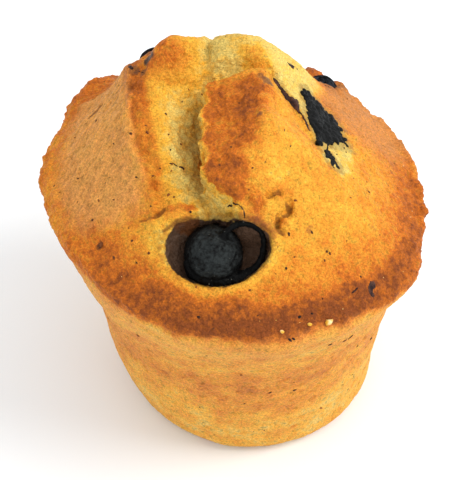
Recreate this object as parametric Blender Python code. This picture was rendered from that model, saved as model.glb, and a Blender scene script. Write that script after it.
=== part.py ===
"""A round blueberry friand: one cake with a cracked dome, and the four berries that show in it.

Metres, +Z up. The origin is the middle of the flat foot.
The shape functions work in millimetres, and the mesh builders turn them into metres.
"""

import math

import bpy
import numpy as np

MM = 0.001

# The wall, from the foot upwards: height, radius and sideways drift of each ring.
WALL_HEIGHTS = (0.0, 1.0, 3.0, 6.0, 10.0, 16.0, 24.0, 32.0, 38.0, 43.0, 47.0, 60.0)
WALL_RADII = (21.4, 24.4, 25.4, 25.9, 26.8, 27.9, 28.9, 30.5, 32.4, 34.1, 34.9, 35.3)
WALL_DRIFTS = (0.3, 0.2, 0.0, -0.6, -1.2, -1.4, -1.3, -1.2, -1.3, -1.5, -1.8, -1.9)

# The lip that baked out over the mould.
LIP_CENTRE = (-3.0, 0.0)
LIP_RADIUS = 36.9
LIP_HEIGHT = 48.3
LIP_LEAN = -0.045
LIP_ABOVE = 3.2
LIP_BELOW = 1.5
LIP_ROUND = 3.0
SHOULDER_SWING = 50
# Swells and dips of the lip: direction in degrees, width in degrees, amount outwards.
LIP_SWELLS = (
    (137, 12, 3.1),
    (56, 14, 0.6),
    (-29, 20, 1.5),
    (-140, 34, -2.8),
    (-143, 8, -0.8),
    (-88, 26, -0.5),
    (12, 34, -1.5),
    (164, 20, 1.7),
)
# Curled-up pieces of the lip: direction, width, rise.
LIP_CURLS = ((138, 9, 2.6), (148, 4, 1.4), (64, 4, 2.4), (55, 4, 0.9))
CURL_REACH = 5.0

# The flanks climb from the lip to the cap. Slope by direction, every 45 degrees from -180.
FLANK_SLOPES = (0.93, 0.95, 0.95, 0.86, 0.8, 0.87, 1.21, 1.12)
CAP_HEIGHT = 71.0
CAP_RISE = 3.4

# The main split runs front to back. Each line below gives x at the heights of y in SPLIT_Y.
SPLIT_Y = (-20.0, -17.0, -14.5, -12.0, -9.0, -5.0, 1.0, 8.0, 13.0, 24.0)
RIDGE_X = (-16.8, -17.6, -18.2, -18.5, -19.4, -21.6, -23.0, -23.4, -23.4, -24.0)
FLOOR_X = (-4.6, -7.2, -8.8, -9.8, -10.2, -10.6, -10.8, -10.6, -9.6, -8.6)
PLATE_X = (-0.8, -3.8, -6.6, -8.4, -8.4, -8.9, -8.9, -8.4, -6.4, -5.8)
SPLIT_DEPTH = (4.2, 5.4, 6.4, 7.0, 7.4, 7.6, 7.4, 6.2, 3.4, 1.4)
WALL_RUN = (1.6, 1.4, 1.2, 1.1, 1.0, 1.0, 1.0, 1.3, 3.2, 4.5)
TORN_STEP = 0.9
EDGE_WANDER = 0.45

# The thin crack behind the right-hand plate, as points in plan.
FISSURE = ((-7.4, 11.2), (-4.0, 11.6), (-0.8, 12.4), (3.4, 10.6), (6.0, 7.0), (8.8, 2.4), (11.4, -2.6))
# Its depth at its left end and at its right end.
FISSURE_DEPTHS = (3.0, 0.8)
FISSURE_HALF_WIDTHS = (1.3, 0.6)

# The hollow at the front that holds a burst berry.
HOLLOW = (-6.5, -23.3, 60.1)
HOLLOW_HALF_WIDTH = 10.1
HOLLOW_HALF_LENGTH = 6.5
# How much further uphill the two ends of the hollow lie than its middle.
HOLLOW_BEND = 1.4
HOLLOW_DEPTH = 6.4
HOLLOW_TILT = 43.0

# Rounded lumps and dips of the crust: x, y, half width, half length, turn in degrees, rise.
LUMPS = (
    (-13.0, 18.2, 6.4, 6.0, 0, 7.8),
    (2.6, 19.0, 10.5, 6.0, -12, 4.0),
    (-12.8, -16.4, 3.4, 1.4, 8, 1.6),
    (13.5, 14.0, 2.2, 14.0, 6, -1.2),
    (14.0, -9.0, 8.0, 10.0, 0, 0.5),
    (2.6, -3.5, 2.2, 9.0, 4, 0.9),
    (1.6, 13.4, 2.8, 2.2, 0, 0.9),
    (-17.3, 18.5, 2.8, 4.0, 0, 1.6),
    (-22.8, 18.4, 2.4, 4.0, 0, 2.2),
    (-6.8, 18.6, 1.8, 4.0, 0, -1.2),
    (-11.3, 17.8, 2.2, 4.0, 0, -1.2),
    (10.0, 19.0, 6.0, 6.5, 0, 0.9),
    (-27.5, 21.5, 3.4, 3.4, 0, -1.4),
)

# Each berry: name, middle, half sizes along its own three axes, and its turns in degrees.
FRONT_BERRY = ("berry_front", (-6.9, -21.2, 57.2), (5.5, 5.6, 5.3), (12, 0, 30))
RIGHT_BERRY = ("berry_right", (12.4, 8.1, 62.5), (3.3, 7.2, 3.0), (-26, 30, 38))
BACK_BERRY = ("berry_back", (13.8, 24.4, 53.2), (3.5, 3.6, 3.4), (20, 10, 0))
LEFT_BERRY = ("berry_left", (-18.5, 19.3, 66.0), (3.0, 3.2, 3.0), (0, -25, 15))
BERRY_SEGMENTS = 18
BERRY_RINGS = 11
BERRY_PUCKER = 0.16

# The loop of burst skin beside the front berry.
LOOP = (-0.9, -22.0, 59.6)
LOOP_HALF_WIDTH = 2.3
LOOP_HALF_LENGTH = 4.5
LOOP_TUBE = 0.85
LOOP_SEGMENTS = 26

# Berries sit in the cake with this much room all round.
BERRY_GAP = 0.3

STEPS_ROUND = 240
TOP_RINGS = 72
CAKE_KEPT = 0.155

CRUST = (0.62, 0.30, 0.09)
BERRY_SKIN = (0.018, 0.018, 0.03)


def eased(low, high, value):
    """0 below low, 1 above high, and an S-curve between."""
    part = np.clip((value - low) / (high - low), 0.0, 1.0)
    return part * part * (3.0 - 2.0 * part)


def soft_least(first, second, blend):
    """The smaller of two heights, with the corner between them rounded."""
    part = np.clip(0.5 + 0.5 * (second - first) / blend, 0.0, 1.0)
    return second * (1.0 - part) + first * part - blend * part * (1.0 - part)


def angle_swell(direction, middle, width):
    """1 in the middle direction, fading to 0 a little beyond the width."""
    away = (direction - middle + 180.0) % 360.0 - 180.0
    return np.exp(-((away / width) ** 2))


def lump(x, y, middle_x, middle_y, half_width, half_length, turn):
    """A rounded hump in plan, 1 in its middle."""
    angle = math.radians(turn)
    across = (x - middle_x) * math.cos(angle) + (y - middle_y) * math.sin(angle)
    along = (y - middle_y) * math.cos(angle) - (x - middle_x) * math.sin(angle)
    return np.exp(-((across / half_width) ** 2) - (along / half_length) ** 2)


def lip_radius(direction):
    """How far the lip reaches from LIP_CENTRE."""
    reach = LIP_RADIUS + sum(
        rise * angle_swell(direction, middle, width) for middle, width, rise in LIP_SWELLS
    )
    return reach


def lip_waves(direction):
    """The small uneven waves of the lip's outer edge."""
    turn = np.radians(direction)
    waves = 0.22 * np.sin(9 * turn + 1.1) + 0.18 * np.sin(14 * turn + 2.3)
    return waves + 0.16 * np.sin(23 * turn)


def lip_height(x):
    return LIP_HEIGHT + LIP_LEAN * (x - LIP_CENTRE[0])


def lip_curl(direction):
    """How far the curled pieces of the lip rise above the rest."""
    return sum(
        rise * angle_swell(direction, middle, width) for middle, width, rise in LIP_CURLS
    )


def flank_slope(direction):
    """The slope of the crust that faces this way, eased between the eight stated ones."""
    step = (direction + 180.0) / 45.0
    low = np.floor(step).astype(int)
    part = eased(0.0, 1.0, step - low)
    slopes = np.array(FLANK_SLOPES)
    return slopes[low % 8] * (1.0 - part) + slopes[(low + 1) % 8] * part


def dome_height(x, y):
    """The whole crust before it split."""
    direction = np.degrees(np.arctan2(y - LIP_CENTRE[1], x - LIP_CENTRE[0]))
    reach = np.hypot(x - LIP_CENTRE[0], y - LIP_CENTRE[1])
    swing = math.radians(SHOULDER_SWING)
    shoulder = lip_radius(direction) - LIP_ROUND * (1.0 - math.cos(swing))
    start = lip_height(x) + LIP_ABOVE * math.sin(swing)
    curl = lip_curl(direction) * eased(shoulder - CURL_REACH, shoulder, reach)
    flank = start + curl + (shoulder - reach) * flank_slope(direction)
    cap = CAP_HEIGHT + CAP_RISE * eased(-10.0, 3.0, x) * (1.0 - eased(8.0, 15.0, y))
    return soft_least(flank, cap, 2.4)


def split_depth(x, y):
    """The wide split: a torn slope down from the left ridge, and a steep wall under the plate."""
    wander = EDGE_WANDER * (np.sin(0.9 * y + 0.6) + 0.6 * np.sin(2.1 * y + 1.9))
    ridge = np.interp(y, SPLIT_Y, RIDGE_X) + wander
    floor = np.interp(y, SPLIT_Y, FLOOR_X)
    plate = np.interp(y, SPLIT_Y, PLATE_X) - wander * (y < 12.0)
    depth = np.interp(y, SPLIT_Y, SPLIT_DEPTH)
    fade = eased(-23.0, -17.0, y) * (1.0 - eased(22.0, 30.0, y))
    down = np.clip((x - ridge) / (floor - ridge), 0.0, 1.0)
    slope = TORN_STEP * eased(0.0, 0.12, down) + (depth - TORN_STEP) * down**1.6
    run = np.interp(y, SPLIT_Y, WALL_RUN)
    wall = 1.0 - eased(plate - 0.8 * run, plate + 0.3, x)
    return np.where(x < ridge, 0.0, slope * wall * fade)


def fissure_depth(x, y):
    """A narrow crack along FISSURE, with round-bottomed sides, that gets shallower to the right."""
    x = x + EDGE_WANDER * np.sin(1.1 * y)
    depth = np.interp(x, (FISSURE[0][0], FISSURE[-1][0]), FISSURE_DEPTHS)
    half_width = np.interp(x, (FISSURE[0][0], FISSURE[-1][0]), FISSURE_HALF_WIDTHS)
    nearest = np.full(np.shape(x), 1e3)
    for (x0, y0), (x1, y1) in zip(FISSURE, FISSURE[1:]):
        length = (x1 - x0) ** 2 + (y1 - y0) ** 2
        part = np.clip(((x - x0) * (x1 - x0) + (y - y0) * (y1 - y0)) / length, 0, 1)
        away = np.hypot(x - x0 - part * (x1 - x0), y - y0 - part * (y1 - y0))
        nearest = np.minimum(nearest, away)
    return depth * (1.0 - eased(0.2, 2.0 * half_width, nearest))


def with_hollow(height, x, y):
    """The crust with a tilted egg shape taken out wherever that egg breaks through it."""
    tilt = math.radians(HOLLOW_TILT)
    dx = (x - HOLLOW[0]) / HOLLOW_HALF_WIDTH
    lift = HOLLOW_BEND * np.minimum(dx**2, 1.5)
    dy = y - HOLLOW[1] - lift * math.cos(tilt)
    middle_height = HOLLOW[2] + lift * math.sin(tilt)
    along, deep = HOLLOW_HALF_LENGTH, HOLLOW_DEPTH
    square = (math.sin(tilt) / along) ** 2 + (math.cos(tilt) / deep) ** 2
    middle = dy * math.sin(tilt) * math.cos(tilt) * (1.0 / along**2 - 1.0 / deep**2)
    rest = dx**2 + dy**2 * ((math.cos(tilt) / along) ** 2 + (math.sin(tilt) / deep) ** 2) - 1.0
    inside = middle**2 - square * rest
    spread = np.sqrt(np.maximum(inside, 0.0))
    floor = middle_height - (middle + spread) / square
    roof = middle_height - (middle - spread) / square
    open_above = (inside > 0.0) & (roof > height - 1.0)
    return np.where(open_above, soft_least(height, floor, 0.7), height)


def top_height(x, y):
    """The finished crust, with its splits, hollow and lumps."""
    height = dome_height(x, y)
    height = height + sum(
        rise * lump(x, y, mx, my, hw, hl, turn) for mx, my, hw, hl, turn, rise in LUMPS
    )
    height = height - split_depth(x, y) - fissure_depth(x, y)
    return with_hollow(height, x, y)


def wall_point(direction, height):
    """x and y of the wall at this height, in the direction seen from LIP_CENTRE."""
    radius = np.interp(height, WALL_HEIGHTS, WALL_RADII)
    drift = np.interp(height, WALL_HEIGHTS, WALL_DRIFTS) - LIP_CENTRE[0]
    turn = np.radians(direction)
    side = drift * np.cos(turn)
    reach = side + np.sqrt(radius**2 - drift**2 + side**2)
    return reach


def ring(direction, reach, height):
    """Points around LIP_CENTRE, one for each direction."""
    turn = np.radians(direction)
    x = LIP_CENTRE[0] + reach * np.cos(turn)
    y = LIP_CENTRE[1] + reach * np.sin(turn)
    return np.stack([x, y, np.broadcast_to(height, x.shape)], axis=1)


def wall_rings(direction):
    rings = [ring(direction, wall_point(direction, 0.0), 0.0)]
    for height in (1.0, 3.0, 7.0, 13.0, 20.0, 27.0, 34.0, 40.0, 44.0):
        rings.append(ring(direction, wall_point(direction, height), height))
    return rings


def lip_rings(direction):
    """The rounded lip, from under its outer edge to its top."""
    turn = np.radians(direction)
    reach = lip_radius(direction) + lip_waves(direction)
    height = lip_height(LIP_CENTRE[0] + reach * np.cos(turn)) + lip_curl(direction)
    rings = []
    for swing in (-62, -30, 0, 18, 34):
        out = LIP_ROUND * (1.0 - math.cos(math.radians(swing)))
        side = LIP_ABOVE if swing > 0 else LIP_BELOW
        rise = side * math.sin(math.radians(swing))
        wall = wall_point(direction, height + rise)
        outer = np.maximum(reach - out, wall + 0.12 * math.cos(math.radians(swing)))
        under = wall + 0.35 * np.maximum(reach - wall, 0.0)
        rings.append(ring(direction, under if swing == -62 else outer, height + rise))
    return rings


def top_rings(direction):
    """The crust, from the lip to the ring next to its middle."""
    rings = []
    out = LIP_ROUND * (1.0 - math.cos(math.radians(SHOULDER_SWING)))
    shoulder = lip_radius(direction) + lip_waves(direction) - out
    for number in range(TOP_RINGS):
        share = (1.0 - number / TOP_RINGS) ** 0.94
        flat = ring(direction, shoulder * share, 0.0)
        flat[:, 0] -= 2.0 * (1.0 - share)
        flat[:, 2] = top_height(flat[:, 0], flat[:, 1])
        rings.append(flat)
    return rings


def skin_of_rings(name, rings, low, high):
    """A closed mesh over stacked rings, with one point under the first and one over the last."""
    count = len(rings[0])
    points = [tuple(low)] + [tuple(point) for each in rings for point in each] + [tuple(high)]
    faces = []
    for number in range(count):
        after = (number + 1) % count
        faces.append((0, 1 + after, 1 + number))
        for level in range(len(rings) - 1):
            start = 1 + level * count
            faces.append(
                (start + number, start + after, start + count + after, start + count + number)
            )
        last = 1 + (len(rings) - 1) * count
        faces.append((last + number, last + after, len(points) - 1))
    mesh = bpy.data.meshes.new(name)
    mesh.from_pydata([[value * MM for value in point] for point in points], [], faces)
    mesh.update()
    mesh.shade_smooth()
    piece = bpy.data.objects.new(name, mesh)
    bpy.context.scene.collection.objects.link(piece)
    return piece


def add_cake():
    """The cake before its berries are let in, thinned out to few triangles."""
    direction = np.arange(STEPS_ROUND) * 360.0 / STEPS_ROUND - 180.0
    rings = wall_rings(direction) + lip_rings(direction) + top_rings(direction)
    middle = (LIP_CENTRE[0] - 2.0, LIP_CENTRE[1])
    peak = float(top_height(np.array([middle[0]]), np.array([middle[1]]))[0])
    cake = skin_of_rings("cake", rings, (0.0, 0.0, 0.0), (*middle, peak))
    thin = cake.modifiers.new("thin", "DECIMATE")
    thin.ratio = CAKE_KEPT
    thin.use_collapse_triangulate = True
    return cake


def berry_rings(sizes, grow):
    """Rings of a slightly puckered berry around its own middle, from its lowest to its highest."""
    turn = np.arange(BERRY_SEGMENTS) * 2.0 * math.pi / BERRY_SEGMENTS
    rings = []
    for number in range(1, BERRY_RINGS):
        tilt = math.pi * number / BERRY_RINGS - math.pi / 2.0
        pucker = BERRY_PUCKER * np.sin(5 * turn + 2.0 * tilt) * math.cos(tilt) ** 2
        x = (sizes[0] + grow + pucker) * math.cos(tilt) * np.cos(turn)
        y = (sizes[1] + grow + pucker) * math.cos(tilt) * np.sin(turn)
        z = np.full(BERRY_SEGMENTS, (sizes[2] + grow) * math.sin(tilt))
        rings.append(np.stack([x, y, z], axis=1))
    return rings


def add_berry(name, middle, sizes, turns, grow=0.0):
    low, high = -sizes[2] - grow, sizes[2] + grow
    berry = skin_of_rings(name, berry_rings(sizes, grow), (0, 0, low), (0, 0, high))
    berry.rotation_euler = [math.radians(turn) for turn in turns]
    berry.location = [value * MM for value in middle]
    return berry


def add_loop(name, grow=0.0):
    """The ring of burst skin, tilted to lie along the flank."""
    bpy.ops.mesh.primitive_torus_add(
        major_segments=LOOP_SEGMENTS,
        minor_segments=8,
        major_radius=LOOP_HALF_WIDTH * MM,
        minor_radius=(LOOP_TUBE + grow) * MM,
        location=[value * MM for value in LOOP],
        rotation=(math.radians(HOLLOW_TILT), 0.0, math.radians(-4)),
    )
    loop = bpy.context.active_object
    loop.name = name
    loop.data.shade_smooth()
    for point in loop.data.vertices:
        reach = math.hypot(point.co.x, point.co.y)
        middle_y = point.co.y / reach * LOOP_HALF_WIDTH * MM
        point.co.y += middle_y * (LOOP_HALF_LENGTH / LOOP_HALF_WIDTH - 1.0)
    return loop


def combine(target, other, operation):
    """A live Boolean of target with other, which then stays out of sight."""
    other.hide_render = True
    other.display_type = "WIRE"
    change = target.modifiers.new(other.name, "BOOLEAN")
    change.operation = operation
    change.solver = "EXACT"
    change.object = other


def add_material(piece, name, colour, roughness):
    material = bpy.data.materials.new(name)
    material.use_nodes = True
    shader = material.node_tree.nodes["Principled BSDF"]
    shader.inputs["Base Color"].default_value = (*colour, 1.0)
    shader.inputs["Roughness"].default_value = roughness
    piece.data.materials.append(material)


def clear_scene():
    for piece in list(bpy.data.objects):
        bpy.data.objects.remove(piece, do_unlink=True)


def main():
    clear_scene()
    cake = add_cake()
    add_material(cake, "crust", CRUST, 0.7)
    for berry_form in (FRONT_BERRY, RIGHT_BERRY, BACK_BERRY, LEFT_BERRY):
        name, middle, sizes, turns = berry_form
        berry = add_berry(name, middle, sizes, turns)
        add_material(berry, name + "_skin", BERRY_SKIN, 0.5)
        room = add_berry(name + "_room", middle, sizes, turns, BERRY_GAP)
        combine(cake, room, "DIFFERENCE")
        if name == FRONT_BERRY[0]:
            combine(berry, add_loop("loop"), "UNION")
            combine(cake, add_loop("loop_room", BERRY_GAP), "DIFFERENCE")


main()
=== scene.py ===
"""Looks of the blueberry friand: baked crust, torn crumb, burst berries and the bits on them.

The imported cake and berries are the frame. Each piece below stands for one of them, or lies on one.
The shape functions work in millimetres, and the mesh helpers turn them into metres.
"""

import math

import bpy
import numpy as np
from bpy.props import FloatProperty, FloatVectorProperty, IntProperty, PointerProperty
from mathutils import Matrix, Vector, noise
from mathutils.bvhtree import BVHTree


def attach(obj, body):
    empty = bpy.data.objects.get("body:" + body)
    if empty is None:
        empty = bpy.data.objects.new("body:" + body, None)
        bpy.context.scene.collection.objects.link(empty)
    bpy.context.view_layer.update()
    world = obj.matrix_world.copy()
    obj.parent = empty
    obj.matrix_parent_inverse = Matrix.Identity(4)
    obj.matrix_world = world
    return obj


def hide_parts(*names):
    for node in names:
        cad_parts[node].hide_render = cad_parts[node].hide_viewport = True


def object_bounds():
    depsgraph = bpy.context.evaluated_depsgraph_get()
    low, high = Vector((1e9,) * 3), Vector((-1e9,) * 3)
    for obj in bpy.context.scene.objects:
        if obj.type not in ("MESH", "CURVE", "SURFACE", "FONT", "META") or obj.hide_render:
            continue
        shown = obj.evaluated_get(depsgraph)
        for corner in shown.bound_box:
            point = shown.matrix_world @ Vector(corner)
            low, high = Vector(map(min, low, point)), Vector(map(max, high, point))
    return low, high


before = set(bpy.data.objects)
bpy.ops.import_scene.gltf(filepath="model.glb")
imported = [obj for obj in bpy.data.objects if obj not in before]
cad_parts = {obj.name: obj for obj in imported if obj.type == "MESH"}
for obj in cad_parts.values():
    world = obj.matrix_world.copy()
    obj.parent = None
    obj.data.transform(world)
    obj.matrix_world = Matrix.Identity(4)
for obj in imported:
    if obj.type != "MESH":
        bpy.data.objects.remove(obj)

bl_info = {
    "name": "Blueberry friand",
    "version": (1, 0, 0),
    "blender": (4, 5, 0),
    "location": "3D View > Sidebar > Friand",
    "description": "Builds the crust, berries and crumbs of a round blueberry friand",
    "category": "Object",
}

MM = 0.001
CAD_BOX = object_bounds()

# The wall, from the foot upwards: height, radius and sideways drift of each ring.
WALL_HEIGHTS = (0.0, 1.0, 3.0, 6.0, 10.0, 16.0, 24.0, 32.0, 38.0, 43.0, 47.0, 60.0)
WALL_RADII = (21.4, 24.4, 25.4, 25.9, 26.8, 27.9, 28.9, 30.5, 32.4, 34.1, 34.9, 35.3)
WALL_DRIFTS = (0.3, 0.2, 0.0, -0.6, -1.2, -1.4, -1.3, -1.2, -1.3, -1.5, -1.8, -1.9)

# The lip that baked out over the mould.
LIP_CENTRE = (-3.0, 0.0)
LIP_RADIUS = 36.9
LIP_HEIGHT = 48.3
LIP_LEAN = -0.045
LIP_ABOVE = 3.2
LIP_BELOW = 1.5
FRONT_TAPER = 3.0
LIP_ROUND = 3.0
SHOULDER_SWING = 50
BEAD_RISE = 0.5
# Swells and dips of the lip: direction in degrees, width in degrees, amount outwards.
LIP_SWELLS = (
    (137, 12, 3.1),
    (56, 14, 0.6),
    (-29, 20, 1.5),
    (-140, 34, -2.8),
    (-143, 8, -0.8),
    (-88, 26, -0.5),
    (12, 34, -1.5),
    (164, 20, 1.7),
)
# Curled-up pieces of the lip: direction, width, rise.
LIP_CURLS = ((138, 9, 2.6), (148, 4, 1.4), (64, 4, 2.4), (55, 4, 0.9))
CURL_REACH = 5.0

# The flanks climb from the lip to the cap. Slope by direction, every 45 degrees from -180.
FLANK_SLOPES = (0.93, 0.95, 0.95, 0.86, 0.8, 0.87, 1.21, 1.12)
CAP_HEIGHT = 71.0
CAP_RISE = 3.4

# The main split runs front to back. Each line below gives x at the heights of y in SPLIT_Y.
SPLIT_Y = (-20.0, -17.0, -14.5, -12.0, -9.0, -5.0, 1.0, 8.0, 13.0, 24.0)
RIDGE_X = (-16.8, -17.6, -18.2, -18.5, -19.4, -21.6, -23.0, -23.4, -23.4, -24.0)
FLOOR_X = (-4.6, -7.2, -8.8, -9.8, -10.2, -10.6, -10.8, -10.6, -9.6, -8.6)
PLATE_X = (-0.8, -3.8, -6.6, -8.4, -8.4, -8.9, -8.9, -8.4, -6.4, -5.8)
SPLIT_DEPTH = (4.2, 5.4, 6.4, 7.0, 7.4, 7.6, 7.4, 6.2, 3.4, 1.4)
WALL_RUN = (1.6, 1.4, 1.2, 1.1, 1.0, 1.0, 1.0, 1.3, 3.2, 4.5)
TORN_STEP = 0.9
EDGE_WANDER = 0.45

# The thin crack behind the right-hand plate, as points in plan.
FISSURE = (
    (-7.4, 11.2), (-4.0, 11.6), (-0.8, 12.4), (3.4, 10.6), (6.0, 7.0),
    (8.8, 2.4), (11.4, -2.6),
)
# Its depth at its left end and at its right end.
FISSURE_DEPTHS = (3.0, 0.8)
FISSURE_HALF_WIDTHS = (1.3, 0.6)

# The hollow at the front that holds a burst berry.
HOLLOW = (-6.5, -23.3, 60.1)
HOLLOW_HALF_WIDTH = 10.1
HOLLOW_HALF_LENGTH = 6.5
# How much further uphill the two ends of the hollow lie than its middle.
HOLLOW_BEND = 1.4
HOLLOW_DEPTH = 6.4
HOLLOW_TILT = 43.0

# Rounded lumps and dips of the crust: x, y, half width, half length, turn in degrees, rise.
LUMPS = (
    (-13.0, 18.2, 6.4, 6.0, 0, 7.8),
    (2.6, 19.0, 10.5, 6.0, -12, 4.0),
    (-12.8, -16.4, 3.4, 1.4, 8, 1.6),
    (13.5, 14.0, 2.2, 14.0, 6, -1.2),
    (14.0, -9.0, 8.0, 10.0, 0, 0.5),
    (2.6, -3.5, 2.2, 9.0, 4, 0.9),
    (1.6, 13.4, 2.8, 2.2, 0, 0.9),
    (-17.3, 18.5, 2.8, 4.0, 0, 1.6),
    (-22.8, 18.4, 2.4, 4.0, 0, 2.2),
    (-6.8, 18.6, 1.8, 4.0, 0, -1.2),
    (-11.3, 17.8, 2.2, 4.0, 0, -1.2),
    (10.0, 19.0, 6.0, 6.5, 0, 0.9),
    (-27.5, 21.5, 3.4, 3.4, 0, -1.4),
)
# The same, for the small teeth and notches of the torn edges and the pits of the front corner.
SMALL_LUMPS = (
    (-13.1, 15.6, 0.5, 1.6, 0, -0.9),
    (-11.9, 16.2, 0.5, 1.2, 0, 0.2),
    (-10.2, 16.6, 0.7, 1.3, 0, 0.2),
    (-8.4, 16.8, 0.8, 2.0, 0, -1.4),
    (-20.2, 14.6, 0.7, 2.2, -20, -0.9),
    (3.9, -15.5, 1.5, 0.45, 24, -1.3),
    (6.6, -16.6, 0.6, 1.1, -12, -1.8),
    (5.8, -17.9, 0.8, 0.4, 20, -1.1),
    (4.5, -19.2, 0.5, 1.0, 8, -1.6),
    (5.3, -20.5, 0.8, 0.4, -20, -0.6),
    (5.2, -16.4, 0.9, 0.6, 10, 0.6),
    (6.2, -19.2, 0.9, 0.8, 0, 0.5),
    (8.0, -16.0, 0.5, 1.0, 10, 0.35),
    (3.1, -18.0, 0.8, 1.1, 10, 0.45),
    (0.9, -14.6, 1.4, 0.6, -35, 0.6),
    (2.4, -17.3, 0.7, 1.3, 10, 0.5),
    (-2.6, -14.9, 1.3, 0.7, 20, 0.4),
)
RIDGE_BEAD = 0.45

# Each berry: middle, half sizes along its own three axes, and its turns in degrees.
FRONT_BERRY = ((-6.9, -21.2, 57.2), (5.5, 5.6, 5.3), (12, 0, 30))
BACK_BERRY = ((13.8, 24.4, 53.2), (3.5, 3.6, 3.4), (20, 10, 0))
LEFT_BERRY = ((-18.5, 19.3, 66.0), (3.0, 3.2, 3.0), (0, -25, 15))

# The burst skin round the front berry, as places across, uphill and out from the berry's middle,
# and its half thickness. It leaves the berry at the upper right, makes a loop, thickens below the
# berry and ends inside it at the left.
BURST_SKIN = (
    (1.5, 3.3, 3.4, 0.5),
    (2.7, 4.5, 3.4, 0.62),
    (4.0, 5.3, 3.1, 0.62),
    (5.2, 5.6, 3.2, 0.58),
    (6.4, 5.5, 3.2, 0.6),
    (7.5, 5.0, 3.0, 0.56),
    (8.5, 4.0, 2.7, 0.55),
    (8.9, 2.8, 2.2, 0.55),
    (9.0, 1.3, 1.8, 0.6),
    (8.7, -0.2, 1.5, 0.65),
    (8.1, -1.7, 1.4, 0.8),
    (7.0, -3.0, 1.3, 0.95),
    (5.5, -4.0, 1.3, 1.2),
    (3.6, -4.6, 1.3, 1.45),
    (1.2, -4.9, 1.3, 1.6),
    (-1.2, -4.7, 1.3, 1.5),
    (-3.1, -4.0, 1.3, 1.25),
    (-4.5, -2.8, 1.2, 0.95),
    (-5.0, -1.2, 1.2, 0.55),
)

STEPS_ROUND = 480
RING_COUNT = 312
# The rings of the foot, as shares of its radius and as heights, and those of the wall.
FOOT_SHARES = (0.5, 0.8, 0.97)
FOOT_HEIGHTS = (0.12, 0.4, 0.9)
WALL_RING_HEIGHTS = np.arange(1.6, 43.2, 1.3)
# The turns, in degrees, at which the rounded lip has its rings.
LIP_SWINGS = range(-62, 50, 8)
# How far the last ring of the crust is shifted to the left of LIP_CENTRE.
MIDDLE_SHIFT = 2.0
# How far noise pulls the flecks out of shape, in metres.
FLECK_WARP = 0.0012
# How much smaller than its berry each room in the cake is, so that the berry fills it.
ROOM_GAP = 0.1
# Sizes of the facets of the berries and of the scraps of skin.
BERRY_FACET = 0.2
SCRAP_FACET = 0.11
# A separate part with fewer points than this is a stray chip.
CHIP_POINTS = 40
# Depths of the fine cracks and of the groove under the browned edge.
CRACK_DEPTH = 0.28
GROOVE_DEPTH = 0.22

# The scattered specks: share of them on top of the cake, and half heights.
SHARE_ON_TOP = 0.55
SPECK_HEIGHT = 0.16
SMALL_SPECK_HEIGHT = 0.08
SPECK_PLACE_SEED = 7
SPECK_SHAPE_SEED = 8
CRUMB_SHAPE_SEED = 9
TINY_CRUMB_COUNT = 12

KEY_COLOUR = (1.0, 0.985, 0.96)
LENS = 144.0
SENSOR_WIDTH = 36.0
CAMERA_PLACE = (-0.00303, -0.24997, 0.32129)
CAMERA_DOWN = 48.69


def eased(low, high, value):
    """0 below low, 1 above high, and an S-curve between."""
    part = np.clip((value - low) / (high - low), 0.0, 1.0)
    return part * part * (3.0 - 2.0 * part)


def soft_least(first, second, blend):
    """The smaller of two heights, with the corner between them rounded."""
    part = np.clip(0.5 + 0.5 * (second - first) / blend, 0.0, 1.0)
    return second * (1.0 - part) + first * part - blend * part * (1.0 - part)


def angle_swell(direction, middle, width):
    """1 in the middle direction, fading to 0 a little beyond the width."""
    away = (direction - middle + 180.0) % 360.0 - 180.0
    return np.exp(-((away / width) ** 2))


def lump(x, y, middle_x, middle_y, half_width, half_length, turn):
    """A rounded hump in plan, 1 in its middle."""
    angle = math.radians(turn)
    across = (x - middle_x) * math.cos(angle) + (y - middle_y) * math.sin(angle)
    along = (y - middle_y) * math.cos(angle) - (x - middle_x) * math.sin(angle)
    return np.exp(-((across / half_width) ** 2) - (along / half_length) ** 2)


def cloudy(points, size, seed, octaves=3):
    """Smooth noise at each point, from about -1 to 1, whose largest patches are about this size."""
    shift = Vector((17.3 * seed, 5.1 * seed, 9.7 * seed))
    return np.array(
        [noise.fractal(Vector(point) / size + shift, 0.9, 2.1, octaves) for point in points]
    )


def path_distance(x, y, path):
    """Distance in plan from the nearest stretch of the path."""
    nearest = np.full(np.shape(x), 1e3)
    for (x0, y0), (x1, y1) in zip(path, path[1:]):
        length = (x1 - x0) ** 2 + (y1 - y0) ** 2
        part = np.clip(((x - x0) * (x1 - x0) + (y - y0) * (y1 - y0)) / length, 0, 1)
        away = np.hypot(x - x0 - part * (x1 - x0), y - y0 - part * (y1 - y0))
        nearest = np.minimum(nearest, away)
    return nearest


def near(x, y, path, width, fade):
    """1 within this width of the path, fading to 0."""
    return 1.0 - eased(width, width + fade, path_distance(x, y, path))


def inside(x, y, outline, fade, ragged):
    """1 inside the outline, fading to 0 across its edge, which a ragged amount moves outwards."""
    loop = (*outline, outline[0])
    crossings = np.zeros(np.shape(x), int)
    for (x0, y0), (x1, y1) in zip(loop, loop[1:]):
        if y0 != y1:
            crossed_at = x0 + (y - y0) * (x1 - x0) / (y1 - y0)
            crossings += ((y0 > y) != (y1 > y)) & (x < crossed_at)
    side = np.where(crossings % 2 == 1, 1.0, -1.0)
    return eased(-fade, fade, side * path_distance(x, y, loop) + ragged)


def lip_radius(direction):
    """How far the lip reaches from LIP_CENTRE."""
    return LIP_RADIUS + sum(
        rise * angle_swell(direction, middle, width) for middle, width, rise in LIP_SWELLS
    )


def lip_waves(direction):
    """The small uneven waves of the lip's outer edge."""
    turn = np.radians(direction)
    waves = 0.22 * np.sin(9 * turn + 1.1) + 0.18 * np.sin(14 * turn + 2.3)
    return waves + 0.16 * np.sin(23 * turn)


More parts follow.
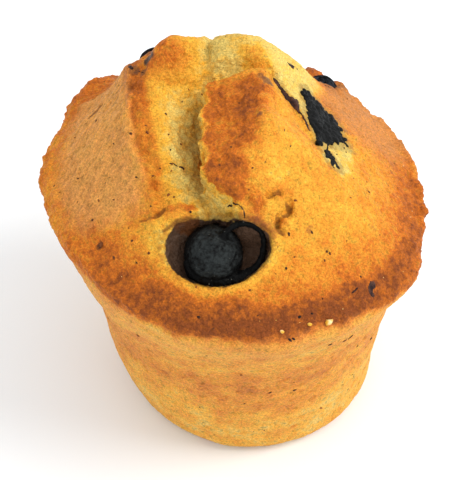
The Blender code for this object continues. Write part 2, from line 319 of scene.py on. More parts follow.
def lip_height(x):
    """Height of the lip's widest line, which slopes down to the right."""
    return LIP_HEIGHT + LIP_LEAN * (x - LIP_CENTRE[0])


def lip_curl(direction):
    """How far the curled pieces of the lip rise above the rest."""
    return sum(
        rise * angle_swell(direction, middle, width) for middle, width, rise in LIP_CURLS
    )


def flank_slope(direction):
    """The slope of the crust that faces this way, eased between the eight stated ones."""
    step = (direction + 180.0) / 45.0
    low = np.floor(step).astype(int)
    part = eased(0.0, 1.0, step - low)
    slopes = np.array(FLANK_SLOPES)
    return slopes[low % 8] * (1.0 - part) + slopes[(low + 1) % 8] * part


def plan_place(x, y):
    """Direction and reach of a place in plan, seen from LIP_CENTRE."""
    direction = np.degrees(np.arctan2(y - LIP_CENTRE[1], x - LIP_CENTRE[0]))
    return direction, np.hypot(x - LIP_CENTRE[0], y - LIP_CENTRE[1])


def dome_height(x, y):
    """The whole crust before it split."""
    direction, reach = plan_place(x, y)
    swing = math.radians(SHOULDER_SWING)
    shoulder = lip_radius(direction) - LIP_ROUND * (1.0 - math.cos(swing))
    start = lip_height(x) + LIP_ABOVE * math.sin(swing)
    curl = lip_curl(direction) * eased(shoulder - CURL_REACH, shoulder, reach)
    flank = start + curl + (shoulder - reach) * flank_slope(direction)
    cap = CAP_HEIGHT + CAP_RISE * eased(-10.0, 3.0, x) * (1.0 - eased(8.0, 15.0, y))
    return soft_least(flank, cap, 2.4)


def edge_wander(y):
    """How far the torn edges stray sideways."""
    broad = np.sin(0.9 * y + 0.6) + 0.4 * np.sin(2.1 * y + 1.9)
    return EDGE_WANDER * (broad + 0.3 * np.sin(4.1 * y + 0.4) + 0.1 * np.sin(8.3 * y + 2.0))


def split_lines(y):
    """x of the left ridge, of the floor and of the plate's edge."""
    wander = edge_wander(y)
    ridge = np.interp(y, SPLIT_Y, RIDGE_X) + wander
    floor = np.interp(y, SPLIT_Y, FLOOR_X)
    plate = np.interp(y, SPLIT_Y, PLATE_X) - wander * (y < 12.0)
    return ridge, floor, plate


def split_depth(x, y):
    """The wide split: a torn slope down from the left ridge, and a steep wall under the plate."""
    ridge, floor, plate = split_lines(y)
    depth = np.interp(y, SPLIT_Y, SPLIT_DEPTH)
    fade = eased(-23.0, -17.0, y) * (1.0 - eased(22.0, 30.0, y))
    down = np.clip((x - ridge) / (floor - ridge), 0.0, 1.0)
    slope = TORN_STEP * eased(0.0, 0.08, down) + (depth - TORN_STEP) * down**1.6
    run = np.interp(y, SPLIT_Y, WALL_RUN)
    wall = 1.0 - eased(plate - 0.8 * run, plate + 0.3, x)
    bead = RIDGE_BEAD * np.exp(-(((x - ridge + 0.4) / 0.8) ** 2)) * fade * (y > -16.0)
    return np.where(x < ridge, 0.0, slope * wall * fade) - bead


def fissure_depth(x, y):
    """A narrow crack along FISSURE, with round-bottomed sides, that gets shallower to the right."""
    x = x + EDGE_WANDER * np.sin(1.1 * y)
    depth = np.interp(x, (FISSURE[0][0], FISSURE[-1][0]), FISSURE_DEPTHS)
    half_width = np.interp(x, (FISSURE[0][0], FISSURE[-1][0]), FISSURE_HALF_WIDTHS)
    nearest = path_distance(x, y, FISSURE)
    return depth * (1.0 - eased(0.2, 2.0 * half_width, nearest))


def with_hollow(height, x, y):
    """The crust with a tilted egg shape taken out wherever that egg breaks through it."""
    tilt = math.radians(HOLLOW_TILT)
    dx = (x - HOLLOW[0]) / HOLLOW_HALF_WIDTH
    lift = HOLLOW_BEND * np.minimum(dx**2, 1.5)
    dy = y - HOLLOW[1] - lift * math.cos(tilt)
    middle_height = HOLLOW[2] + lift * math.sin(tilt)
    along, deep = HOLLOW_HALF_LENGTH, HOLLOW_DEPTH
    square = (math.sin(tilt) / along) ** 2 + (math.cos(tilt) / deep) ** 2
    middle = dy * math.sin(tilt) * math.cos(tilt) * (1.0 / along**2 - 1.0 / deep**2)
    rest = dx**2 + dy**2 * ((math.cos(tilt) / along) ** 2 + (math.sin(tilt) / deep) ** 2) - 1.0
    within = middle**2 - square * rest
    spread = np.sqrt(np.maximum(within, 0.0))
    floor = middle_height - (middle + spread) / square
    roof = middle_height - (middle - spread) / square
    open_above = (within > 0.0) & (roof > height - 1.0)
    return np.where(open_above, soft_least(height, floor, 0.7), height)


def crust_height(x, y):
    """The crust with its lumps, before the hollow is taken out."""
    height = dome_height(x, y)
    for middle_x, middle_y, half_width, half_length, turn, rise in LUMPS + SMALL_LUMPS:
        height = height + rise * lump(x, y, middle_x, middle_y, half_width, half_length, turn)
    return height - split_depth(x, y) - fissure_depth(x, y)


def top_height(x, y):
    """The finished crust, with its splits, hollow and lumps."""
    return with_hollow(crust_height(x, y), x, y)


def wall_reach(direction, height):
    """How far the wall is from LIP_CENTRE in this direction at this height."""
    radius = np.interp(height, WALL_HEIGHTS, WALL_RADII)
    drift = np.interp(height, WALL_HEIGHTS, WALL_DRIFTS) - LIP_CENTRE[0]
    side = drift * np.cos(np.radians(direction))
    return side + np.sqrt(radius**2 - drift**2 + side**2)


def ring(direction, reach, height):
    """Points around LIP_CENTRE, one for each direction."""
    turn = np.radians(direction)
    x = LIP_CENTRE[0] + reach * np.cos(turn)
    y = LIP_CENTRE[1] + reach * np.sin(turn)
    return np.stack([x, y, np.broadcast_to(height, x.shape)], axis=1)


def wall_rings(direction):
    """The flat foot and the wall up to the lip."""
    rings = [ring(direction, wall_reach(direction, 0.0) * share, 0.0) for share in FOOT_SHARES]
    heights = [*FOOT_HEIGHTS, *WALL_RING_HEIGHTS]
    return rings + [ring(direction, wall_reach(direction, height), height) for height in heights]


def lip_rings(direction):
    """The rounded lip, from under its outer edge to its top."""
    turn = np.radians(direction)
    reach = lip_radius(direction) + lip_waves(direction)
    height = lip_height(LIP_CENTRE[0] + reach * np.cos(turn)) + lip_curl(direction)
    below = LIP_BELOW + FRONT_TAPER * angle_swell(direction, -90, 58)
    rings = []
    for swing in LIP_SWINGS:
        out = LIP_ROUND * (1.0 - math.cos(math.radians(swing)))
        side = LIP_ABOVE if swing > 0 else below
        rise = side * math.sin(math.radians(swing))
        wall = wall_reach(direction, height + rise)
        outer = np.maximum(reach - out, wall + 0.12 * math.cos(math.radians(swing)))
        under = wall + 0.35 * np.maximum(reach - wall, 0.0)
        tucked = max(0.0, (-30.0 - swing) / 32.0)
        rings.append(ring(direction, under * tucked + outer * (1.0 - tucked), height + rise))
    return rings


def top_rings(direction, count):
    """The crust, from the lip to the ring next to its middle."""
    out = LIP_ROUND * (1.0 - math.cos(math.radians(SHOULDER_SWING)))
    shoulder = lip_radius(direction) + lip_waves(direction) - out
    rings = []
    for number in range(count):
        share = (1.0 - number / count) ** 0.94
        flat = ring(direction, shoulder * share, 0.0)
        flat[:, 0] -= MIDDLE_SHIFT * (1.0 - share)
        flat[:, 2] = top_height(flat[:, 0], flat[:, 1])
        edge = shoulder * (1.0 - share)
        bead = BEAD_RISE * np.exp(-(((edge - 0.5) / 0.7) ** 2)) * angle_swell(direction, 175, 45)
        flat[:, 2] += bead * (1.0 + 0.5 * np.sin(np.radians(direction) * 61))
        rings.append(flat)
    return rings


def under_plate(points):
    """Moves the foot of the split's steep wall in under the plate, so that its edge hangs over."""
    x, y = points[:, 0], points[:, 1]
    plate = split_lines(y)[2]
    run = np.interp(y, SPLIT_Y, WALL_RUN)
    foot = plate - 0.8 * run
    down = 1.0 - eased(foot, plate + 0.3, x)
    hang = settings().cake.overhang * eased(-17.0, -13.0, y) * (1.0 - eased(4.0, 9.0, y))
    inwards = hang * down * eased(foot - 2.5, foot, x)
    outwards = 0.5 * hang * (1.0 - down) * (1.0 - eased(plate + 0.3, plate + 3.5, x))
    on_top = points[:, 2] > 55.0
    points[:, 0] += np.where(on_top, inwards - outwards, 0.0)


def settings():
    return bpy.context.scene.friand


def deselect_all():
    for piece in bpy.context.selected_objects:
        piece.select_set(False)


def pick(piece):
    """Makes this the only selected object, and the active one."""
    deselect_all()
    piece.select_set(True)
    bpy.context.view_layer.objects.active = piece


def apply_modifier(piece, kind, **values):
    """Adds a modifier with these settings, and applies it at once."""
    pick(piece)
    change = piece.modifiers.new(kind.lower(), kind)
    for name, value in values.items():
        setattr(change, name, value)
    bpy.ops.object.modifier_apply(modifier=change.name)


def relief(piece, size, depth, noise_depth):
    """Raises and lowers the surface by up to this depth, with bumps about this size."""
    texture = bpy.data.textures.new(piece.name + "_relief", "CLOUDS")
    texture.noise_scale = size * MM
    texture.noise_depth = noise_depth
    apply_modifier(
        piece,
        "DISPLACE",
        texture=texture,
        texture_coords="LOCAL",
        strength=depth * MM,
        mid_level=0.5,
    )


def weigh(piece, name, weights):
    """A vertex group whose weights are these, to the nearest twentieth."""
    group = piece.vertex_groups.new(name=name)
    levels = np.round(np.clip(weights, 0.0, 1.0) * 20).astype(int)
    for level in range(1, 21):
        members = np.flatnonzero(levels == level)
        if len(members):
            group.add(members.tolist(), level / 20, "REPLACE")


def paint(piece, name, values):
    """A named number at each point of the surface, which the materials read."""
    layer = piece.data.attributes.new(name, "FLOAT", "POINT")
    layer.data.foreach_set("value", np.ascontiguousarray(values, np.float32))


def points_of(piece):
    """Every point of the piece, in millimetres."""
    flat = np.empty(len(piece.data.vertices) * 3, np.float32)
    piece.data.vertices.foreach_get("co", flat)
    return flat.reshape(-1, 3).astype(float) / MM


def set_points(piece, points):
    piece.data.vertices.foreach_set("co", (points * MM).astype(np.float32).ravel())
    piece.data.update()


def push_out(piece, amounts):
    """Moves each point along its normal by its own amount, in millimetres."""
    normals = np.empty(len(piece.data.vertices) * 3, np.float32)
    piece.data.vertex_normals.foreach_get("vector", normals)
    set_points(piece, points_of(piece) + normals.reshape(-1, 3) * amounts[:, None])


def settle(piece):
    """Puts the piece's place and turn into its mesh."""
    pick(piece)
    bpy.ops.object.transform_apply(location=True, rotation=True, scale=True)


def join(pieces):
    """One object from several, under the first one's name."""
    deselect_all()
    for piece in pieces:
        piece.select_set(True)
    bpy.context.view_layer.objects.active = pieces[0]
    bpy.ops.object.join()
    return pieces[0]


def egg(name, form, grow, segments, rings):
    """A berry's plain form at its place: middle, half sizes and turns."""
    middle, sizes, turns = form
    deselect_all()
    bpy.ops.mesh.primitive_uv_sphere_add(segments=segments, ring_count=rings, radius=MM)
    piece = bpy.context.active_object
    piece.name = name
    piece.scale = [size + grow for size in sizes]
    piece.rotation_euler = [math.radians(turn) for turn in turns]
    piece.location = [value * MM for value in middle]
    settle(piece)
    return piece


def cut(piece, cutter):
    """Takes the cutter's form out of the piece."""
    apply_modifier(piece, "BOOLEAN", operation="DIFFERENCE", solver="EXACT", object=cutter)
    bpy.data.objects.remove(cutter, do_unlink=True)


def add_kept(piece, material, slot, *nodes):
    """Gives the piece its finish and its place in the frame."""
    piece.data.materials.clear()
    piece.data.materials.append(material)
    piece.data.shade_smooth()
    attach(piece, "root")
    if nodes:
        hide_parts(*nodes)


def cake_form():
    """The cake's skin before its relief, from a sphere whose rings are put in their places."""
    direction = np.arange(STEPS_ROUND) * 360.0 / STEPS_ROUND
    direction = (direction + 180.0) % 360.0 - 180.0
    rings = wall_rings(direction) + lip_rings(direction)
    rings += top_rings(direction, RING_COUNT - 1 - len(rings))
    deselect_all()
    bpy.ops.mesh.primitive_uv_sphere_add(
        segments=STEPS_ROUND // 4, ring_count=RING_COUNT // 4, radius=MM
    )
    cake = bpy.context.active_object
    cake.name = "cake_crust"
    apply_modifier(cake, "SUBSURF", subdivision_type="SIMPLE", levels=2, render_levels=2)
    ball = points_of(cake)
    ball /= np.linalg.norm(ball, axis=1)[:, None]
    rise = np.arcsin(np.clip(ball[:, 2], -1.0, 1.0)) / math.pi + 0.5
    turn = np.arctan2(ball[:, 1], ball[:, 0]) / (2.0 * math.pi)
    level = np.round(rise * RING_COUNT).astype(int)
    around = np.round(turn * STEPS_ROUND).astype(int) % STEPS_ROUND
    middle = (LIP_CENTRE[0] - MIDDLE_SHIFT, LIP_CENTRE[1])
    peak = float(top_height(np.array([middle[0]]), np.array([middle[1]]))[0])
    ends = [np.zeros((STEPS_ROUND, 3)), np.full((STEPS_ROUND, 3), (*middle, peak))]
    points = np.array(ends[:1] + rings + ends[1:])[level, around]
    under_plate(points)
    set_points(cake, points)
    return cake


# Zones of the crust in plan, as outlines and paths in millimetres.
# The left flank, painted a duller, paler tan: partly its own tone, partly painted sheen of the side
# away from the key light.
TAN_FLANK = (
    (-37, -2), (-35, 14), (-31, 24), (-26, 27), (-23.8, 18), (-23, 6), (-21.5, -1), (-20, -8),
    (-20.5, -13), (-25, -14), (-30, -13), (-34, -10),
)
RIDGE_LINE = (
    (-23.0, 17.0), (-22.0, 10.0), (-21.1, 4.3), (-20.1, -0.3), (-19.2, -4.3), (-18.5, -7.9),
    (-18.2, -11.5),
)
TORN_SLOPE = (
    (-23, 17), (-22.4, 8), (-22.2, 3), (-20.8, -3), (-19, -8), (-18, -13), (-16.5, -16),
    (-9, -17.9), (-4, -18.9), (-2.0, -19.1), (-2.2, -18.0), (-3.6, -16.2), (-6.8, -13), (-8.6, -9),
    (-9, -1), (-8, 5), (-6, 8.5), (-3, 10), (0, 13), (-1, 18), (-8, 21), (-14, 22),
)
LEFT_KNOB = (
    (-19.4, 14.0), (-19.0, 18), (-16.5, 20.5), (-13.6, 19.0),
    (-13.0, 16.0), (-12.9, 14.6), (-13.5, 13.9),
    (-14.6, 12.9), (-16.1, 12.1), (-17.6, 12.5), (-18.7, 13.2),
)
PALE_BACK = (
    (1.5, 12.5), (4.6, 9.6), (6.5, 6.6), (8.6, 6.0), (10.4, 9.0), (12.4, 14), (14, 19),
    (9, 24), (0, 27), (-8, 24), (-9, 16), (-5, 12),
)
ORANGE_CAP = (
    (-2.6, 15.5), (-1.0, 16.6), (1.2, 15.8), (3.0, 13.6),
    (3.5, 10.6), (2.6, 8.6), (0.4, 9.6), (-0.6, 12.5),
)
DARK_PLATE = (
    (-10.5, 4.0), (-10.2, 7.6), (-7.6, 8.4), (-4.5, 8.1),
    (-1.5, 7.8), (1.0, 6.8), (2.3, 5.6), (2.8, 3.4),
    (2.4, 0.0), (1.2, -4.3), (0.4, -7.5), (-0.5, -10.0),
    (-1.0, -12.0), (-0.8, -14.0), (-0.9, -16.3),
    (0.3, -17.5), (0.2, -18.6), (-1.5, -18.8), (-4.0, -17.6),
    (-6.4, -16.4), (-8.4, -14.2), (-10.0, -10.0),
    (-10.6, -3.0),
)
RED_FOOT = (
    (-7.1, -10.0), (-4.6, -9.4), (-2.4, -11.4), (-1.6, -13.4),
    (-1.6, -16.0), (-2.4, -17.9), (-4.6, -17.0),
    (-6.4, -15.8), (-8.2, -13.4),
)
TORN_CORNER = (
    (-0.9, -15.6), (0.7, -14.6), (1.9, -15.7), (2.7, -16.9),
    (1.2, -18.4), (-0.1, -18.2), (-1.0, -16.9),
)
PITTED = (
    (1.7, -15.4), (4.1, -14.4), (7.9, -14.1), (8.3, -17.6), (6.8, -20.4),
    (3.5, -20.7), (1.7, -18.9),
)
FLAP = (
    (-15.9, -15.6), (-13.5, -15.2), (-10.9, -14.8), (-9.9, -16.2), (-11.3, -17.2), (-13.4, -17.9),
    (-15.3, -18.2),
)
# The face of the plate turned towards the key light, painted paler: painted light.
LIT_FACE_PAINTED_PALER = (
    (5, 5), (9, 3.6), (12, -2), (13, -9), (12, -16),
    (7, -18), (3, -15), (2.4, -6), (3.8, 0),
)
HOLLOW_RIM = (
    (-16.2, -20.9), (-15.3, -18.6), (-13.1, -17.8), (-9.9, -17.4), (-4.9, -17.6), (-0.4, -18.4),
    (2.1, -20.2), (2.7, -22.4), (1.0, -25.4), (-2.2, -27.2),
    (-6.7, -27.9), (-11.2, -26.6), (-14.6, -23.6),
)
MASH_PALE = (
    (8.6, 5.2), (10.2, 3.4), (12.4, -1.2), (13.2, -6.5), (16.6, -7.8), (18.9, -3.4), (19.3, 1.4),
    (17.8, 4.2), (16.6, 8.0), (14.4, 11.4), (12.4, 13.2), (10.6, 14.6), (9.2, 11.6), (8.2, 7.6),
)
# Crumb tinted by juice: middle, size and strength of each spot.
STAINS = (
    ((-20.4, 13.5), 0.9, 0.6),
    ((-21.7, 14.3), 0.8, 0.65),
    ((-19.4, 15.4), 1.1, 0.9),
    ((3.0, 6.8), 1.3, 0.7),
    ((1.6, 7.6), 1.0, 0.5),
    ((-22.4, 14.8), 1.3, 0.5),
    ((10.6, -19.2), 1.0, 0.3),
    ((13.5, -21.3), 0.8, 0.25),
    ((21.3, -7.0), 0.6, 0.35),
    ((27.0, 3.4), 0.6, 0.3),
    ((22.4, -14.4), 0.7, 0.25),
    ((-28.2, -16.5), 0.7, 0.6),
    ((-24.8, 1.8), 0.8, 0.25),
    ((1.3, -2.8), 0.7, 0.5),
    ((10.4, 8.8), 1.3, 0.5),
    ((17.8, 2.2), 0.9, 0.3),
    ((13.8, 25.0), 3.9, 0.5),
    ((-18.8, 19.8), 3.4, 0.5),
)
# Fine cracks and grooves, cut into the crust and painted dark inside as painted shade: path and half
# width.
CRACK_LINES = (
    (((-20.6, -15.5), (-19.1, -16.1), (-17.8, -16.3)), 0.05),
    (((-17.5, -16.0), (-16.8, -15.7), (-16.1, -15.2)), 0.3),
    (((-16.2, -18.9), (-14.3, -18.1), (-12.6, -17.7), (-11.2, -17.4), (-9.8, -17.1)), 0.12),
    (((-31.2, 12.2), (-30.1, 12.6), (-29.0, 13.7)), 0.2),
    (((2.8, -16.2), (3.9, -15.7), (5.0, -15.1)), 0.15),
    (((6.3, -16.0), (6.9, -16.5), (6.5, -17.4), (5.7, -18.0)), 0.3),
    (((4.7, -18.5), (4.4, -19.4), (4.7, -20.2), (5.5, -20.7)), 0.25),
)
# The curled piece of the lip at the back left, and the duller crust of the right flank.
RIM_PIECE = (
    (-38, 19), (-35, 25), (-31, 28), (-26.6, 28), (-27.0, 23.4), (-28.4, 20.6), (-30.6, 19.3),
    (-33.0, 18.9),
)
RIGHT_TAN = ((12, 14), (16, 24), (20, 30), (28, 24), (32, 12), (27, 6), (22, 7), (17, 9))
# Lumps that stand out of the lip's edge: place and size.
RIM_BUMPS = (
    ((33.1, -3.2, 48.6), 0.9, 0.9),
    ((-39.6, 8.1, 51.4), 1.0, 0.8),
    ((-39.4, 3.0, 51.2), 1.3, 0.5),
    ((-38.6, -3.4, 50.8), 1.1, 0.5),
    ((29.4, 11.6, 49.0), 0.8, -0.9),
    ((33.2, 5.6, 48.5), 0.8, -0.7),
    ((12.2, 30.4, 53.3), 1.2, 0.6),
    ((17.0, 26.8, 52.1), 1.2, 1.2),
    ((18.8, 25.8, 51.8), 1.3, 1.0),
    ((15.4, 21.8, 56.9), 1.9, 0.7),
    ((17.4, 24.2, 54.0), 1.6, 1.3),
)

# How brown the ring above the lip is, by direction in degrees.
BAND_DIRECTIONS = (-180, -155, -130, -95, -60, -35, 0, 40, 56, 75, 100, 120, 137, 155, 180)
BAND_BROWN = (0.25, 0.45, 0.7, 0.98, 1.0, 0.85, 0.6, 0.45, 0.75, 0.6, 0.6, 0.6, 0.8, 0.35, 0.25)
# The same along the ring's width: distance inwards from the lip's edge, and share.
BAND_EDGES = (-0.5, 0.4, 1.5, 3.0, 4.2, 5.6, 7.6, 10.5)
BAND_SHARES = (0.8, 0.92, 1.0, 1.0, 0.86, 0.46, 0.18, 0.0)
# How high above the lip's widest line the browned crust begins, by direction in degrees.
BROWN_FROM_DIRECTIONS = (-180, -145, -125, -109, -99, -88, -77, -55, -30, 0, 180)
BROWN_FROM = (-1.4, -0.9, 0.2, 0.9, 1.2, 1.6, 2.0, 1.6, -0.2, -1.3, -1.4)
WALL_LEVELS = (0, 3, 8, 14, 22, 25, 29, 34, 40, 47)
WALL_BROWN = (0.25, 0.25, 0.27, 0.35, 0.46, 0.56, 0.58, 0.44, 0.36, 0.38)
# How brown each kind of crust is before its patches, from 0 to 1.
TONES = {
    "crust": 0.49,
    "right_tan": 0.78,
    "rim_piece": 0.74,
    "glow": 0.64,
    "plate": 0.77,
    "foot": 0.8,
    "pale_back": 0.06,
    "cap": 0.37,
    "knob": 0.64,
    "flap": 0.68,
    "corner": 0.6,
    "pitted": 0.34,
    "mash_pale": 0.06,
}
# The left flank stretched as it rose: its streaks run this way in plan, in degrees.
STREAK_TURN = 52.0


def crust_zones(points, ragged):
    """How far each point belongs to each kind of crust, from 0 to 1."""
    x, y, z = points.T
    top = eased(-1.0, 1.2, z - lip_height(x))
    zones = {
        "torn": inside(x, y, TORN_SLOPE, 0.9, ragged),
        "knob": inside(x, y, LEFT_KNOB, 1.8, ragged),
        "pale_back": inside(x, y, PALE_BACK, 1.2, 0.6 * ragged),
        "cap": inside(x, y, ORANGE_CAP, 1.8, 0.4 * ragged),
        "corner": inside(x, y, TORN_CORNER, 0.7, ragged),
        "pitted": inside(x, y, PITTED, 0.7, ragged),
        "mash_pale": inside(x, y, MASH_PALE, 1.0, ragged),
        "tan": inside(x, y, TAN_FLANK, 2.5, 1.2 * ragged),
        "plate": inside(x, y, DARK_PLATE, 1.9, ragged),
        "glow": inside(x, y, DARK_PLATE, 4.5, ragged),
        "foot": inside(x, y, RED_FOOT, 0.9, ragged),
        "flap": inside(x, y, FLAP, 0.6, 0.5 * ragged),
        "rim_piece": inside(x, y, RIM_PIECE, 0.5, 0.4 * ragged),
        "right_tan": inside(x, y, RIGHT_TAN, 3.5, ragged),
    }
    zones = {name: share * top for name, share in zones.items()}
    zones["top"] = top
    plate_edge = split_lines(y)[2] - 0.4 * eased(-11.0, -13.5, y)
    past_edge = eased(-0.3, 0.3, x - plate_edge + 0.1 * ragged)
    sunk = crust_height(x, y) + split_depth(x, y) - z
    on_plate = 1.0 - eased(1.4, 2.2, sunk + 0.8 * ragged)
    past_edge = past_edge * np.maximum(on_plate, eased(-12.5, -11.5, y))
    zones["torn"] = zones["torn"] * (1.0 - past_edge * eased(-18.2, -17.4, y) * (y < 10.0))
    zones["plate"] = zones["plate"] * np.maximum(past_edge, 1.0 * (y > 9.0))
    zones["foot"] = zones["foot"] * past_edge * eased(-17.6, -16.8, y)
    zones["plate"] = zones["plate"] * eased(-18.2, -17.2, y)
    zones["tan"] = zones["tan"] * (1.0 - zones["rim_piece"])
    zones["slope"] = zones["torn"] * (1.0 - zones["knob"]) * (1.0 - zones["flap"])
    return zones


def fibre_places(points, degrees, squeeze_up):
    """The points turned so that fibres at this angle run along x, and squeezed along them."""
    turn = math.radians(degrees)
    along = points[:, 0] * math.cos(turn) + points[:, 1] * math.sin(turn)
    across = points[:, 1] * math.cos(turn) - points[:, 0] * math.sin(turn)
    return np.stack([along * 0.35, across, points[:, 2] * squeeze_up], axis=1)


def wall_pores(points):
    """Open pores of the wall, from 0 to 1, fainter under the lip."""
    open_pores = eased(0.25, 0.6, cloudy(points, 1.5, 18, 2))
    return open_pores * (1.0 - 0.6 * eased(32.0, 40.0, points[:, 2]))


def brown_start(direction):
    """How high above the lip's widest line the browned crust begins in this direction."""
    return np.interp(direction, BROWN_FROM_DIRECTIONS, BROWN_FROM)


def hollow_places(points):
    """Distances across, uphill and out from the middle of the front berry."""
    tilt = math.radians(HOLLOW_TILT)
    across, back, up = (points - np.array(FRONT_BERRY[0])).T
    uphill = back * math.cos(tilt) + up * math.sin(tilt)
    return across, uphill, up * math.cos(tilt) - back * math.sin(tilt)


def cake_relief(points):
    """How far each point of the cake moves outwards, in millimetres."""
    sizes = settings().cake
    x, y, z = points.T
    zones = crust_zones(points, 0.0)
    top = zones["top"]
    torn = np.maximum.reduce([zones["slope"], zones["corner"], 0.7 * zones["pitted"]])
    torn *= 1.0 - 0.6 * near(x, y, (*HOLLOW_RIM, HOLLOW_RIM[0]), 0.0, 0.8)
    torn *= 1.0 - 0.45 * eased(11.0, 14.0, y)
    direction, reach = plan_place(x, y)
    edge = lip_radius(direction) - reach
    billows = np.abs(cloudy(points, 3.4, 11, 2)) * 2.2 - 0.5
    crumbs = np.abs(cloudy(points, 1.5, 12, 2)) * 2.2 - 0.5
    fine = cloudy(points, 0.8, 13, 2)
    swells = cloudy(points, 7.0, 14, 2)
    bumps = cloudy(points, 2.0, 15, 2)
    out = sizes.crumb_depth / MM * torn * (0.7 * billows + 0.45 * crumbs + 0.15 * fine)
    lumpy = np.maximum(zones["plate"], zones["foot"])
    out += sizes.crumb_depth / MM * lumpy * (0.45 * bumps + 0.3 * crumbs)
    smooth = top * (1.0 - torn)
    out += sizes.crust_depth / MM * smooth * (0.9 * swells + 0.6 * bumps + 0.6 * fine)
    stretched = fibre_places(points, STREAK_TURN, 0.35)
    streaks = cloudy(stretched, 1.0, 17, 2)
    pits = eased(0.3, 0.7, cloudy(stretched, 0.8, 19, 2))
    out += sizes.crust_depth / MM * zones["tan"] * (1.0 * streaks - 0.9 * pits)
    rim = np.exp(-(((edge - 0.6) / 1.6) ** 2)) * eased(-4.0, 0.0, z - lip_height(x))
    back = 1.0 - angle_swell(direction, -90, 60)
    out += sizes.crust_depth / MM * rim * back * (0.9 * bumps + 0.8 * np.abs(fine))
    wall = (1.0 - top) * eased(0.2, 1.5, z)
    wrinkles = cloudy(points * (1, 1, 5), 7.0, 16, 2) * eased(30.0, 40.0, z)
    uneven = 0.8 * swells + 0.35 * wrinkles + 0.2 * fine - 0.7 * wall_pores(points)
    out += sizes.wall_depth / MM * wall * uneven
    groove = np.exp(-(((z - lip_height(x) - brown_start(direction) + 0.5) / 0.6) ** 2))
    out -= GROOVE_DEPTH * groove * angle_swell(direction, -90, 40)
    for path, width in CRACK_LINES:
        out -= CRACK_DEPTH * near(x, y, path, width, 0.45) * top
    for middle, size, rise in RIM_BUMPS:
        away = np.linalg.norm(points - middle, axis=1)
        out += rise * np.exp(-((away / size) ** 2))
    return out


# Some of these numbers carry painted light and shade besides the crust's own colour: browned in
# places, shaded, the crack lines, soaked and tan.
PAINTED = ("browned", "torn", "tan", "stained", "soaked", "crack_shade", "streaked", "shaded")


